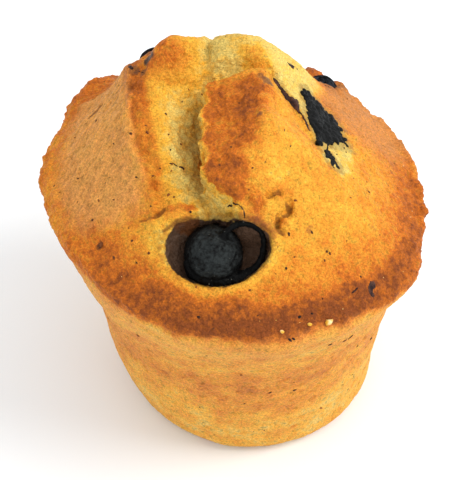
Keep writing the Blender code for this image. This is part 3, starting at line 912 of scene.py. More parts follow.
def cake_colours(points):
    """The numbers from 0 to 1 that PAINTED names, for each point."""
    x, y, z = points.T
    direction, reach = plan_place(x, y)
    edge = lip_radius(direction) - reach
    broad = cloudy(points, 9.0, 1)
    patchy = cloudy(points, 3.2, 2)
    small = cloudy(points, 1.3, 3)
    ragged = 0.8 * patchy + 0.5 * small
    zones = crust_zones(points, ragged)
    top = zones["top"]

    brown = TONES["crust"] + 0.10 * broad + 0.05 * patchy
    band = np.interp(edge + 0.9 * broad + 0.4 * patchy, BAND_EDGES, BAND_SHARES)
    band *= np.interp(direction, BAND_DIRECTIONS, BAND_BROWN)
    brown += band * (1.0 - brown)
    ridge_strip = near(x, y, RIDGE_LINE, 1.15 + 0.2 * patchy, 1.5) * top
    # Painted light: the face turned towards the key light is painted paler.
    brown -= 0.13 * inside(x, y, LIT_FACE_PAINTED_PALER, 2.2, ragged)
    brown += zones["right_tan"] * (TONES["right_tan"] + 0.08 * broad - brown)
    brown += zones["rim_piece"] * (TONES["rim_piece"] + 0.1 * patchy - brown)
    brown += zones["glow"] * np.maximum(TONES["glow"] + 0.1 * patchy - brown, 0.0)
    darkest = 0.13 * lump(x, y, -0.6, 0.5, 2.8, 4.6, 0)
    brown += zones["plate"] * (TONES["plate"] + darkest + 0.07 * patchy - brown)
    brown += 0.8 * zones["foot"] * (TONES["foot"] + 0.08 * patchy - brown)
    ridge, floor, plate = split_lines(y)
    across = np.clip((x - ridge) / (floor - ridge), 0.0, 1.0)
    back_slope = 0.22 * eased(9.0, 12.0, y) * (1.0 - eased(-11.0, -8.5, x))
    torn_brown = 0.51 - 0.41 * eased(0.05, 0.75, across) + back_slope + 0.1 * patchy
    brown += zones["slope"] * (torn_brown - brown)
    ridge_brown = 0.63 + 0.18 * eased(-2.0, 9.0, y) + 0.08 * patchy
    brown += 0.95 * ridge_strip * (ridge_brown - brown)
    brown += zones["pale_back"] * (TONES["pale_back"] + 0.06 * broad - brown)
    brown += zones["cap"] * (TONES["cap"] + 0.08 * patchy - brown)
    knob_brown = TONES["knob"] + 0.05 * np.clip(-15.5 - x, -2.0, 3.0) + 0.1 * patchy
    brown += zones["knob"] * (knob_brown - brown)
    brown += zones["flap"] * (TONES["flap"] - brown)
    brown += zones["corner"] * (TONES["corner"] + 0.25 * patchy - brown)
    brown += 0.6 * zones["pitted"] * (TONES["pitted"] + 0.4 * patchy - brown)
    brown += zones["mash_pale"] * (TONES["mash_pale"] - brown)
    broken = np.exp(-(((x - plate - 0.1) / 0.3) ** 2)) * eased(-15.0, -12.0, y) * (y < 8.0)
    brown -= 0.15 * broken * top * eased(0.3, 0.6, brown)
    crumb = np.maximum.reduce(
        [
            zones["slope"],
            0.6 * zones["pitted"],
            0.75 * zones["pale_back"] * (1.0 - zones["cap"]),
            0.7 * zones["mash_pale"],
        ]
    )

    above_lip = z - lip_height(x)
    brown_from = brown_start(direction)
    wall = 1.0 - eased(brown_from - 1.5, brown_from + 0.8, above_lip + 0.6 * patchy + 0.3 * small)
    line = np.exp(-(((above_lip - brown_from - 1.7 + 0.5 * broad) / 0.4) ** 2))
    brown += 0.08 * line * angle_swell(direction, -98, 30)
    wall_brown = np.interp(z + 1.5 * broad, WALL_LEVELS, WALL_BROWN)
    wall_brown = wall_brown + 0.16 * cloudy(points * (1, 1, 2.0), 14.0, 5) + 0.08 * patchy
    wall_brown = wall_brown + 0.18 * cloudy(points * (1, 1, 1.3), 5.0, 6)
    wall_brown = wall_brown + 0.14 * wall_pores(points)
    # Painted shade: the wall is painted browner just under the lip, all round except the front.
    under_lip_shade = np.exp(-(((above_lip + 2.4) / 0.9) ** 2))
    wall_brown = wall_brown + 0.25 * under_lip_shade * (1.0 - angle_swell(direction, -85, 45))
    brown = brown * (1.0 - wall) + wall_brown * wall
    # Tan on the flanks, with more of it on the wall's left side. On the left flank and on the wall's
    # left side it is partly the crust's own tone, partly painted sheen of the side away from the key
    # light.
    left = angle_swell(direction, 180, 38)
    tan = np.maximum(zones["tan"], 0.7 * zones["right_tan"] * (1.0 - zones["mash_pale"]))
    tan = np.maximum(
        tan * (1.0 - zones["torn"]), wall * (0.35 + 0.3 * left + 0.2 * eased(34, 44, z))
    )

    across, uphill, _ = hollow_places(points)
    bend = HOLLOW_BEND * ((across - 0.2) / HOLLOW_HALF_WIDTH) ** 2
    oval = np.hypot((across - 0.2) / 10.4, (uphill - 0.3 - bend) / 6.4) + 0.05 * small
    in_hollow = (1.0 - eased(0.93, 1.03, oval)) * top
    in_hollow *= eased(0.1, 0.7, np.clip((crust_height(x, y) - z) / 1.2, 0.0, 1.0))
    above = eased(1.0, 5.0, uphill) * eased(-6.0, -1.0, across)
    halo = (0.26 + 0.2 * above) * (1.0 - eased(1.0, 1.12 + 0.22 * above, oval)) * top
    stain = np.maximum(in_hollow, halo)
    below = (1.0 - above) * (1.0 - eased(1.1, 1.35, oval)) * top
    brown -= 0.22 * below
    brown += 0.16 * np.exp(-(((oval - 1.07) / 0.06) ** 2)) * (1.0 - below) * top
    # How dark the juice is. Below the berry it is darker: juice, and a painted shadow of the
    # crescent under the berry. In the loop on the right it is paler: painted light against the shade
    # of that deep part.
    soaked = 0.3 + 0.7 * eased(-5.0, -7.5, uphill - 0.35 * np.abs(across - 1.0))
    soaked -= 0.3 * eased(3.0, 5.0, across) * eased(-3.0, 0.0, uphill)
    for middle, size, rise in RIM_BUMPS:
        on_bump = np.exp(-((np.linalg.norm(points - middle, axis=1) / (1.2 * size)) ** 2))
        brown += 0.2 * np.sign(rise) * on_bump
    for middle, size, strength in STAINS:
        spot = np.exp(-((np.hypot(x - middle[0], y - middle[1]) / size) ** 2))
        stain = np.maximum(stain, strength * eased(0.25, 0.75, spot + 0.3 * small) * top)
    for outline, fade, strength in JUICY:
        around = near(x, y, (*outline, outline[0]), 0.25 + 0.3 * ragged, fade)
        stain = np.maximum(stain, strength * around * top)
    # Painted shade inside the fine cracks.
    line = np.zeros_like(x)
    for path, width in CRACK_LINES:
        line = np.maximum(line, near(x, y, path, width, 0.4) * top)
    # Painted shade: deep in the split, and at the left end of the pale back, the crumb is marked for
    # a darker olive.
    valley_shade = eased(4.6, 7.4, split_depth(x, y)) * zones["slope"]
    valley_shade = valley_shade * (1.0 - 0.5 * eased(-13.0, -16.0, y))
    valley_shade = np.maximum(valley_shade, 0.4 * zones["pale_back"] * (1.0 - eased(-3.0, 1.0, x)))
    values = (brown, crumb * (1.0 - wall), tan, stain, soaked, line, zones["tan"], valley_shade)
    return [np.clip(value, 0.0, 1.0) for value in values]


def add_cake():
    """The cake: its form, the rooms for the berries, its relief and its painted zones."""
    sizes = settings().cake
    cake = cake_form()
    for form in (FRONT_BERRY, BACK_BERRY, LEFT_BERRY):
        cut(cake, egg("room", form, grow=-ROOM_GAP, segments=48, rings=32))
    apply_modifier(
        cake, "REMESH", mode="VOXEL", voxel_size=sizes.grain_size, use_smooth_shade=True
    )
    points = points_of(cake)
    push_out(cake, cake_relief(points))
    below = 1.0 - eased(-1.0, 2.0, points[:, 2] - lip_height(points[:, 0]))
    weigh(cake, "thinned", np.maximum(0.05, below))
    apply_modifier(
        cake, "DECIMATE", ratio=sizes.kept, vertex_group="thinned", vertex_group_factor=1.0
    )
    cake.vertex_groups.clear()
    for name, values in zip(PAINTED, cake_colours(points_of(cake))):
        paint(cake, name, values)
    add_kept(cake, crust_material(), "crust", "cake")
    return cake


def tint(red, green, blue):
    """A colour from its usual 0 to 255 numbers."""
    parts = [value / 255.0 for value in (red, green, blue)]
    return tuple(v / 12.92 if v <= 0.04045 else ((v + 0.055) / 1.055) ** 2.4 for v in parts)


def node(tree, kind, links=None, **values):
    """A shader node with its settings, and its inputs set or linked by name or number."""
    made = tree.nodes.new(kind)
    for name, value in values.items():
        setattr(made, name, value)
    for name, value in (links or {}).items():
        if isinstance(value, bpy.types.NodeSocket):
            tree.links.new(value, made.inputs[name])
        else:
            made.inputs[name].default_value = value
    return made


def maths(tree, operation, first, second):
    links = {0: first, 1: second}
    return node(tree, "ShaderNodeMath", links, operation=operation).outputs[0]


def blend(tree, share, first, second, kind="MIX"):
    """One colour over another."""
    made = node(tree, "ShaderNodeMix", data_type="RGBA", blend_type=kind)
    for name, value in (("Factor", share), ("A", first), ("B", second)):
        socket = [s for s in made.inputs if s.name == name and s.enabled][0]
        if isinstance(value, bpy.types.NodeSocket):
            tree.links.new(value, socket)
        else:
            socket.default_value = value if isinstance(value, float) else (*value, 1.0)
    return [s for s in made.outputs if s.enabled][0]


def ramp(tree, value, stops):
    """A colour ramp through stops of place and colour."""
    made = node(tree, "ShaderNodeValToRGB", {0: value})
    steps = made.color_ramp.elements
    while len(steps) < len(stops):
        steps.new(0.5)
    for step, (place, colour) in zip(steps, stops):
        step.position = place
        step.color = (*colour, 1.0)
    return made.outputs[0]


def levels(tree, value, low, high, to_low=0.0, to_high=1.0):
    """The value stretched from one span to another, and kept within it."""
    return node(
        tree, "ShaderNodeMapRange", {0: value, 1: low, 2: high, 3: to_low, 4: to_high}, clamp=True
    ).outputs[0]


def attribute(tree, name):
    return node(tree, "ShaderNodeAttribute", attribute_name=name).outputs["Fac"]


def new_group(name, inputs, outputs):
    """An empty shader node group with these sockets, its tree and its two end nodes."""
    tree = bpy.data.node_groups.new(name, "ShaderNodeTree")
    for label, start in inputs:
        kind = "NodeSocketVector" if isinstance(start, tuple) else "NodeSocketFloat"
        socket = tree.interface.new_socket(label, in_out="INPUT", socket_type=kind)
        socket.default_value = start
    for label in outputs:
        tree.interface.new_socket(label, in_out="OUTPUT", socket_type="NodeSocketFloat")
    return tree, tree.nodes.new("NodeGroupInput").outputs, tree.nodes.new("NodeGroupOutput").inputs


def grain_group():
    """Baked grain: noise around a half, which can be stretched along a line turned from x."""
    tree, given, out = new_group(
        "baked grain",
        (("Per metre", 800.0), ("Fineness", 3.0), ("Stretch", (1.0, 1.0, 1.0)), ("Turn", 0.0)),
        ("Grain",),
    )
    place = node(tree, "ShaderNodeTexCoord").outputs["Object"]
    place = node(
        tree,
        "ShaderNodeVectorRotate",
        {"Vector": place, "Angle": given["Turn"]},
        rotation_type="Z_AXIS",
    ).outputs[0]
    place = node(
        tree, "ShaderNodeVectorMath", {0: place, 1: given["Stretch"]}, operation="MULTIPLY"
    ).outputs[0]
    links = {
        "Vector": place,
        "Scale": given["Per metre"],
        "Detail": given["Fineness"],
        "Roughness": 0.6,
    }
    noisy = node(tree, "ShaderNodeTexNoise", links)
    tree.links.new(noisy.outputs[0], out["Grain"])
    return tree


def fleck_group():
    """Scattered dark flecks: one in each cell whose chance is high enough."""
    tree, given, out = new_group(
        "scattered flecks", (("Per metre", 300.0), ("Chance", 0.1), ("Size", 0.2)), ("Fleck",)
    )
    place = node(tree, "ShaderNodeTexCoord").outputs["Object"]
    warped = node(tree, "ShaderNodeTexNoise", {"Vector": place, "Scale": 900.0, "Detail": 1.0})
    links = {0: warped.outputs[1], 1: (FLECK_WARP, FLECK_WARP, FLECK_WARP)}
    shift = node(tree, "ShaderNodeVectorMath", links, operation="MULTIPLY").outputs[0]
    place = node(tree, "ShaderNodeVectorMath", {0: place, 1: shift}, operation="ADD").outputs[0]
    cells = node(
        tree, "ShaderNodeTexVoronoi", {"Vector": place, "Scale": given["Per metre"]}, feature="F1"
    )
    chance = node(tree, "ShaderNodeSeparateColor", {0: cells.outputs["Color"]})
    chosen = maths(tree, "LESS_THAN", chance.outputs[0], given["Chance"])
    share = levels(tree, chance.outputs[1], 0.0, 1.0, 0.4, 1.2)
    size = maths(tree, "MULTIPLY", given["Size"], share)
    near_middle = maths(tree, "SUBTRACT", size, cells.outputs["Distance"])
    shape = levels(tree, near_middle, 0.0, 0.08)
    tree.links.new(maths(tree, "MULTIPLY", shape, chosen), out["Fleck"])
    return tree


def use_group(tree, name, maker, links):
    """A node that stands for the shared group, which is built the first time."""
    shared = bpy.data.node_groups.get(name) or maker()
    return node(tree, "ShaderNodeGroup", links, node_tree=shared).outputs[0]


def grain(tree, size, fineness, stretch=(1.0, 1.0, 1.0), turn=0.0):
    """Grain whose marks are about this many millimetres across."""
    links = {
        "Per metre": 1.0 / (size * MM),
        "Fineness": fineness,
        "Stretch": stretch,
        "Turn": math.radians(turn),
    }
    return use_group(tree, "baked grain", grain_group, links)


def flecks(tree, spacing, chance, size):
    """Dark flecks in cells about this many millimetres apart."""
    links = {"Per metre": 1.0 / (spacing * MM), "Chance": chance, "Size": size}
    return use_group(tree, "scattered flecks", fleck_group, links)


def new_material(name, specular):
    """A material, its tree and its shader."""
    material = bpy.data.materials.new(name)
    material.use_nodes = True
    shader = material.node_tree.nodes["Principled BSDF"]
    shader.inputs["Specular IOR Level"].default_value = specular
    return material, material.node_tree, shader


def shade(tree, colour, amount):
    """The colour made darker or lighter by this amount, where 1 leaves it alone."""
    grey = node(tree, "ShaderNodeCombineColor", {0: amount, 1: amount, 2: amount}).outputs[0]
    return blend(tree, 1.0, colour, grey, "MULTIPLY")


def add_bump(tree, shader, height, strength, depth):
    """Fine relief of the surface, whose highest parts stand out by this depth in millimetres."""
    links = {"Strength": strength, "Distance": depth * MM, "Height": height}
    bump = node(tree, "ShaderNodeBump", links).outputs[0]
    tree.links.new(bump, shader.inputs["Normal"])


def crust_material():
    """Baked crust and torn crumb, coloured by the numbers that PAINTED names."""
    colours = settings().cake
    material, tree, shader = new_material("baked crust and torn crumb", 0.15)
    browned, torn = attribute(tree, "browned"), attribute(tree, "torn")
    tan, stained, soaked = (attribute(tree, name) for name in ("tan", "stained", "soaked"))
    crack_shade, streaked = attribute(tree, "crack_shade"), attribute(tree, "streaked")
    soft = grain(tree, 3.2, 3.0)
    fine = grain(tree, 1.1, 4.0)
    pores = grain(tree, 0.42, 2.0)
    specks_and_glints = grain(tree, 0.2, 1.0)
    streaks = grain(tree, 0.8, 3.0, (0.34, 1.0, 0.34), -STREAK_TURN)
    mottled = maths(tree, "MULTIPLY", maths(tree, "SUBTRACT", soft, 0.5), 0.55)
    speckled = levels(tree, torn, 0.0, 1.0, 0.85, 0.5)
    speckled = maths(tree, "MULTIPLY", maths(tree, "SUBTRACT", fine, 0.5), speckled)
    depth = maths(tree, "ADD", browned, maths(tree, "ADD", mottled, speckled))
    colour = ramp(
        tree,
        depth,
        (
            (0.0, colours.pale),
            (0.25, colours.yellow),
            (0.5, colours.golden),
            (0.75, colours.orange),
            (1.0, colours.deep),
        ),
    )
    colour = blend(tree, maths(tree, "MULTIPLY", tan, 0.75), colour, colours.tan)
    # Painted shade: where shaded is high, the colour is blended towards a darker olive.
    valley_shade = maths(tree, "MULTIPLY", attribute(tree, "shaded"), 0.6)
    colour = blend(tree, valley_shade, colour, colours.valley_shade_colour)
    colour = shade(tree, colour, levels(tree, pores, 0.27, 0.73, 0.72, 1.27))
    # Lighter fine specks: partly tone that differs at random, partly painted glints.
    colour = shade(tree, colour, levels(tree, fine, 0.56, 0.72, 1.0, 1.18))
    colour = shade(tree, colour, levels(tree, specks_and_glints, 0.3, 0.7, 0.84, 1.2))
    # Painted shade: small holes are painted darker, most in torn crumb.
    pore_shade_tone = levels(tree, torn, 0.0, 1.0, 0.62, 0.82)
    colour = shade(tree, colour, levels(tree, fine, 0.32, 0.44, pore_shade_tone, 1.0))
    streaky = maths(tree, "MULTIPLY", levels(tree, streaks, 0.3, 0.7, -0.17, 0.17), streaked)
    colour = shade(tree, colour, maths(tree, "ADD", streaky, 1.0))
    # The juice darkens with soaked, which below the front berry is also a painted shadow.
    depth = maths(tree, "ADD", soaked, maths(tree, "MULTIPLY", mottled, 1.5))
    juice = ramp(tree, depth, ((0.1, colours.juice_thin), (0.8, colours.juice)))
    wet = levels(tree, maths(tree, "ADD", stained, speckled), 0.1, 0.85)
    colour = blend(tree, wet, colour, juice)
    # Painted shade: the fine cracks are blended towards a dark brown.
    colour = blend(tree, levels(tree, crack_shade, 0.35, 1.0, 0.0, 0.72), colour, colours.crack)
    dark = maths(tree, "MAXIMUM", flecks(tree, 2.2, 0.16, 0.09), flecks(tree, 4.4, 0.35, 0.08))
    colour = blend(tree, maths(tree, "MULTIPLY", dark, 0.7), colour, colours.fleck)
    tree.links.new(colour, shader.inputs["Base Color"])
    tree.links.new(levels(tree, stained, 0.3, 1.0, 0.62, 0.34), shader.inputs["Roughness"])
    crumbly = maths(tree, "MULTIPLY", torn, grain(tree, 1.3, 5.0))
    lines = maths(tree, "MULTIPLY", streaked, streaks)
    height = maths(tree, "ADD", maths(tree, "MULTIPLY", pores, 0.35), fine)
    height = maths(tree, "ADD", height, maths(tree, "ADD", crumbly, lines))
    add_bump(tree, shader, height, 1.0, 0.7)
    return material


def berry_material(name, bloom, gloss, dust, specular):
    """Dark baked skin with wrinkles, and a paler bloom of this colour where it stayed dry."""
    colours = settings().berries
    material, tree, shader = new_material(name, specular)
    patches = grain(tree, 3.0, 4.0)
    fine = grain(tree, 0.7, 4.0)
    dusty = maths(tree, "ADD", patches, maths(tree, "MULTIPLY", fine, 1.1))
    dusty = levels(tree, dusty, 0.86, 1.24, 0.0, bloom)
    dusty = maths(tree, "MULTIPLY", dusty, attribute(tree, "dusty"))
    colour = ramp(tree, fine, ((0.3, colours.skin), (0.7, colours.skin_light)))
    colour = blend(tree, dusty, colour, dust)
    # Painted highlights: pale glints flecked onto the skin.
    painted_glints = maths(tree, "MAXIMUM", flecks(tree, 0.8, 0.12, 0.13), flecks(tree, 0.45, 0.12, 0.2))
    colour = blend(tree, maths(tree, "MULTIPLY", painted_glints, 0.5), colour, colours.glint_highlight)
    tree.links.new(colour, shader.inputs["Base Color"])
    rough = levels(tree, dusty, 0.0, max(bloom, 0.01), gloss, 0.75)
    tree.links.new(rough, shader.inputs["Roughness"])
    height = maths(tree, "ADD", fine, grain(tree, 2.2, 2.0, (1.0, 0.35, 1.0), 30.0))
    add_bump(tree, shader, height, 0.9, 0.6)
    return material


def skin_material():
    """Dried juice and scraps of skin: brown-purple to near black."""
    colours = settings().berries
    material, tree, shader = new_material("dried skin and juice", 0.12)
    patches = grain(tree, 1.6, 4.0)
    stops = ((0.3, colours.skin), (0.45, colours.dried), (0.65, colours.dried_light))
    colour = ramp(tree, patches, stops)
    tree.links.new(colour, shader.inputs["Base Color"])
    fine = grain(tree, 0.5, 3.0)
    tree.links.new(levels(tree, fine, 0.3, 0.7, 0.35, 0.7), shader.inputs["Roughness"])
    add_bump(tree, shader, fine, 0.6, 0.3)
    return material


def speck_material():
    """Seeds and burnt flecks, from mid brown to near black."""
    colours = settings().specks
    material, tree, shader = new_material("specks", 0.2)
    tone = grain(tree, 5.0, 2.0)
    stops = ((0.38, colours.dark), (0.5, colours.middle), (0.62, colours.light))
    tree.links.new(ramp(tree, tone, stops), shader.inputs["Base Color"])
    rough = levels(tree, grain(tree, 0.5, 2.0), 0.3, 0.7, 0.5, 0.8)
    tree.links.new(rough, shader.inputs["Roughness"])
    return material


def crumb_material():
    """Loose crumbs: pale inside crumb with a browned side here and there."""
    colours = settings().cake
    material, tree, shader = new_material("loose crumb", 0.15)
    patches = grain(tree, 1.2, 3.0)
    stops = ((0.35, colours.loose), (0.6, colours.yellow), (0.75, colours.golden))
    tree.links.new(ramp(tree, patches, stops), shader.inputs["Base Color"])
    tree.links.new(levels(tree, patches, 0.3, 0.7, 0.6, 0.8), shader.inputs["Roughness"])
    return material


def tube(name, path, radii, rings=3, steps=6):
    """A closed round strip along a path in millimetres, with its own radius at each point."""
    line = bpy.data.curves.new(name, "CURVE")
    line.dimensions = "3D"
    line.bevel_depth = MM
    line.bevel_resolution = rings
    line.use_fill_caps = True
    line.resolution_u = steps
    spline = line.splines.new("BEZIER")
    spline.bezier_points.add(len(path) - 1)
    for point, place, radius in zip(spline.bezier_points, path, radii):
        point.co = [value * MM for value in place]
        point.handle_left_type = point.handle_right_type = "AUTO"
        point.radius = radius
    piece = bpy.data.objects.new(name, line)
    bpy.context.scene.collection.objects.link(piece)
    pick(piece)
    bpy.ops.object.convert(target="MESH")
    return bpy.context.active_object


def on_flank(middle, across, uphill, out):
    """A place by its distances along the tilted flank at the hollow."""
    tilt = math.radians(HOLLOW_TILT)
    return (
        middle[0] + across,
        middle[1] + uphill * math.cos(tilt) - out * math.sin(tilt),
        middle[2] + uphill * math.sin(tilt) + out * math.cos(tilt),
    )


def delete_points(piece, gone):
    """Deletes the points for which gone is true."""
    pick(piece)
    bpy.ops.object.mode_set(mode="EDIT")
    bpy.ops.mesh.select_all(action="DESELECT")
    bpy.ops.object.mode_set(mode="OBJECT")
    for vertex, goes in zip(piece.data.vertices, gone):
        vertex.select = bool(goes)
    bpy.ops.object.mode_set(mode="EDIT")
    bpy.ops.mesh.delete(type="VERT")
    bpy.ops.object.mode_set(mode="OBJECT")


def drop_chips(piece):
    """Deletes stray chips: the separate parts that have fewer points than CHIP_POINTS."""
    leads_to = list(range(len(piece.data.vertices)))

    def part_of(number):
        while leads_to[number] != number:
            leads_to[number] = leads_to[leads_to[number]]
            number = leads_to[number]
        return number

    for edge in piece.data.edges:
        first, second = (part_of(number) for number in edge.vertices)
        leads_to[first] = second
    parts = np.array([part_of(number) for number in leads_to])
    delete_points(piece, np.bincount(parts)[parts] < CHIP_POINTS)


def remesh(piece, size):
    """One closed skin round all of the piece, with facets of this size in millimetres."""
    apply_modifier(piece, "REMESH", mode="VOXEL", voxel_size=size * MM, use_smooth_shade=True)
    drop_chips(piece)


class Crust:
    """Finds places on the finished cake."""

    def __init__(self):
        self.tree = BVHTree.FromObject(
            bpy.data.objects["cake_crust"], bpy.context.evaluated_depsgraph_get()
        )

    def below(self, x, y):
        """The highest place of the crust at x, y, and the way it faces."""
        place, normal, _, _ = self.tree.ray_cast(Vector((x * MM, y * MM, 0.1)), Vector((0, 0, -1)))
        if place is None:
            raise ValueError(f"no crust at {x}, {y}")
        return place / MM, normal

    def nearest(self, place):
        """The place of the cake's surface nearest to this one, and the way it faces."""
        found, normal, _, _ = self.tree.find_nearest(Vector(place) * MM)
        return found / MM, normal


def patch(name, outline, crust, thickness, lift, ragged, seed, spacing=0.3):
    """A thin piece on the crust inside this outline in plan, thicker towards its middle."""
    places = np.array(outline)
    low, high = places.min(axis=0) - 1.0, places.max(axis=0) + 1.0
    middle = (low + high) / 2.0
    steps = np.ceil((high - low) / spacing).astype(int)
    deselect_all()
    bpy.ops.mesh.primitive_grid_add(
        x_subdivisions=int(steps[0]), y_subdivisions=int(steps[1]), size=1.0 * MM
    )
    piece = bpy.context.active_object
    piece.name = name
    piece.scale = (high[0] - low[0], high[1] - low[1], 1.0)
    piece.location = (middle[0] * MM, middle[1] * MM, 0.0)
    settle(piece)
    points = points_of(piece)
    x, y = points[:, 0], points[:, 1]
    loop = (*outline, outline[0])
    torn_edge = ragged * cloudy(points, 1.4, seed, 3)
    delete_points(piece, inside(x, y, outline, 0.01, torn_edge) <= 0.5)
    points = points_of(piece)
    inwards = path_distance(points[:, 0], points[:, 1], loop)
    rise = lift * (0.25 + 0.75 * eased(0.0, 1.6, inwards))
    points[:, 2] = [crust.below(px, py)[0].z for px, py, _ in points] + rise
    set_points(piece, points)
    apply_modifier(piece, "SOLIDIFY", thickness=thickness * MM, offset=-1.0)
    return piece


def thread(name, path, crust, radius, sunk=0.3):
    """A thin dark line along the crust, partly sunk in it, with thinner ends."""
    places = []
    stations = np.arange(len(path))
    finer = np.linspace(0, len(path) - 1, 3 * len(path) - 2)
    path = np.stack([np.interp(finer, stations, values) for values in zip(*path)], axis=1)
    for x, y in path:
        place, normal = crust.below(x, y)
        places.append(tuple(place - normal * radius * sunk))
    radii = [0.45 * radius, *[radius] * (len(path) - 2), 0.45 * radius]
    return tube(name, places, radii, rings=1, steps=2)


def add_front_berry():
    """The whole berry in the hollow, and the burst skin round it."""
    ball = egg("front_berry", FRONT_BERRY, grow=-0.15, segments=96, rings=64)
    relief(ball, size=4.5, depth=0.9, noise_depth=1)
    path = [on_flank(FRONT_BERRY[0], *place[:3]) for place in BURST_SKIN]
    skin = tube("burst_skin", path, [place[3] for place in BURST_SKIN])
    skin_tree = BVHTree.FromObject(skin, bpy.context.evaluated_depsgraph_get())
    berry = join([ball, skin])
    remesh(berry, BERRY_FACET)
    relief(berry, size=1.6, depth=0.5, noise_depth=2)
    relief(berry, size=0.7, depth=0.25, noise_depth=1)
    away = [skin_tree.find_nearest(Vector(point) * MM)[3] / MM for point in points_of(berry)]
    across, uphill, _ = hollow_places(points_of(berry))
    # The bloom stops short of the berry's rim as seen from outside, which stays dark: painted shade
    # of the limb.
    from_middle = np.hypot(across, uphill) + 0.3 * cloudy(points_of(berry), 1.4, 25, 2)
    clear_of_limb_shade = 1.0 - eased(4.2, 5.1, from_middle)
    paint(berry, "dusty", eased(0.3, 0.8, np.array(away)) * clear_of_limb_shade)
    material = berry_material("front berry skin", 1.0, 0.4, settings().berries.ash, 0.06)
    add_kept(berry, material, "berry_skin", "berry_front")


# The mash of the burst berry on the right flank, in plan, and the way its fibres run.
MASH = (
    (9.7, 11.8), (10.6, 12.4), (11.8, 12.4), (12.9, 12.4), (14.0, 11.7), (15.2, 10.6), (16.4, 9.2),
    (16.9, 7.8), (17.8, 7.2), (17.3, 5.8), (18.0, 4.2), (19.0, 2.2), (17.4, 2.4), (16.6, 1.4),
    (15.7, 1.6), (15.0, 0.2), (14.2, 0.6), (13.4, -0.2), (12.6, -2.8), (12.1, -3.4), (11.9, -1.2),
    (11.9, 0.4), (11.2, 1.6), (10.6, 3.2), (10.2, 5.0), (10.0, 7.2), (9.7, 9.2),
)
MASH_TURN = -50.0
MASH_TAIL = (
    (13.4, -2.3), (14.5, -2.2), (15.4, -3.4), (16.2, -4.6),
    (16.5, -6.2), (15.2, -7.1), (14.1, -6.4),
    (13.3, -4.7),
)


def add_right_berry(crust):
    """The berry that burst on the right flank: a ragged mash, and its drips below."""
    mash = patch("right_berry", MASH, crust, 1.6, 0.75, ragged=0.25, seed=21)
    tail = patch("tail", MASH_TAIL, crust, 1.2, 0.4, spacing=0.25, ragged=0.2, seed=22)
    link = thread("link", ((14.4, 1.6), (14.2, -0.6), (14.0, -2.2), (14.3, -3.6)), crust, 0.32)
    nub = thread("nub", ((9.9, 12.0), (10.2, 10.2), (10.6, 8.6)), crust, 0.8, 0.0)
    mash = join([mash, tail, link, nub])
    remesh(mash, BERRY_FACET)
    points = points_of(mash)
    fibres = cloudy(fibre_places(points, MASH_TURN, 0.4), 1.3, 23, 3)
    lumps = np.abs(cloudy(points, 1.8, 24, 2)) - 0.3
    push_out(mash, 0.25 * fibres + 0.6 * lumps)
    paint(mash, "dusty", np.ones(len(points)))
    material = berry_material("burst berry", 0.1, 0.45, settings().berries.ash, 0.15)
    add_kept(mash, material, "berry_skin", "berry_right")


def add_half_hidden_berries():
    """The two berries that only part of shows, at the back and at the left of the cake."""
    colours = settings().berries
    for name, form, stands_for, bloom, dust in (
        ("back_berry", BACK_BERRY, "berry_back", 0.8, colours.bloom),
        ("left_berry", LEFT_BERRY, "berry_left", 0.5, colours.dried),
    ):
        berry = egg(name, form, grow=0.15, segments=72, rings=48)
        relief(berry, size=2.6, depth=0.4, noise_depth=1)
        relief(berry, size=1.0, depth=0.2, noise_depth=2)
        paint(berry, "dusty", np.ones(len(points_of(berry))))
        material = berry_material(name + " skin", bloom, 0.8, dust, 0.03)
        add_kept(berry, material, "berry_skin", stands_for)


# Scraps of dried skin, as outlines in plan.
SKIN_STRIP = (
    (3.8, 10.3), (4.4, 10.7), (5.1, 10.1), (5.9, 8.8),
    (6.7, 7.2), (7.4, 6.6), (8.7, 7.1), (9.0, 5.9),
    (9.0, 4.9), (9.8, 3.9), (10.5, 2.5), (11.0, 0.6),
    (10.7, 0.4), (10.0, 2.2), (9.0, 3.9), (7.9, 4.7),
    (6.9, 5.6), (6.0, 6.6), (5.1, 8.3), (4.2, 9.2),
)
LIP_SLIVER = (
    (21.6, -23.2), (22.5, -23.0), (22.8, -23.8), (22.2, -24.6), (22.6, -25.4), (22.1, -26.0),
    (21.4, -25.4), (21.2, -24.2),
)
EDGE_SCRAP = ((6.6, 15.6), (7.4, 16.0), (8.3, 15.8), (8.1, 14.9), (7.1, 14.8))
# Outlines with a halo of juice round them: outline, how far the halo fades, strength.
JUICY = ((MASH, 1.4, 0.42), (MASH_TAIL, 0.9, 0.4), (SKIN_STRIP, 0.7, 0.25))
# Thin dark threads: path in plan and half thickness.
THREADS = (
    (
        ((-4.7, -16.2), (-3.8, -16.8), (-2.8, -17.8), (-2.0, -18.3), (-1.5, -18.8), (-1.4, -19.3)),
        0.16,
    ),
    (((-23.3, 16.2), (-23.0, 15.6), (-22.5, 14.9)), 0.35),
    (((-21.6, 14.3), (-20.9, 13.9), (-20.2, 13.3)), 0.14),
    (((-15.2, -6.8), (-14.4, -6.8), (-13.7, -6.9)), 0.17),
    (((-13.4, -7.0), (-12.9, -7.2), (-12.4, -7.2)), 0.2),
    (((18.0, -26.3), (18.7, -25.7), (19.4, -25.1)), 0.2),
    (((6.0, -4.8), (5.7, -5.9)), 0.13),
    (((2.6, -11.0), (2.2, -11.8)), 0.12),
    (((7.0, -1.8), (6.6, -3.0)), 0.11),
)


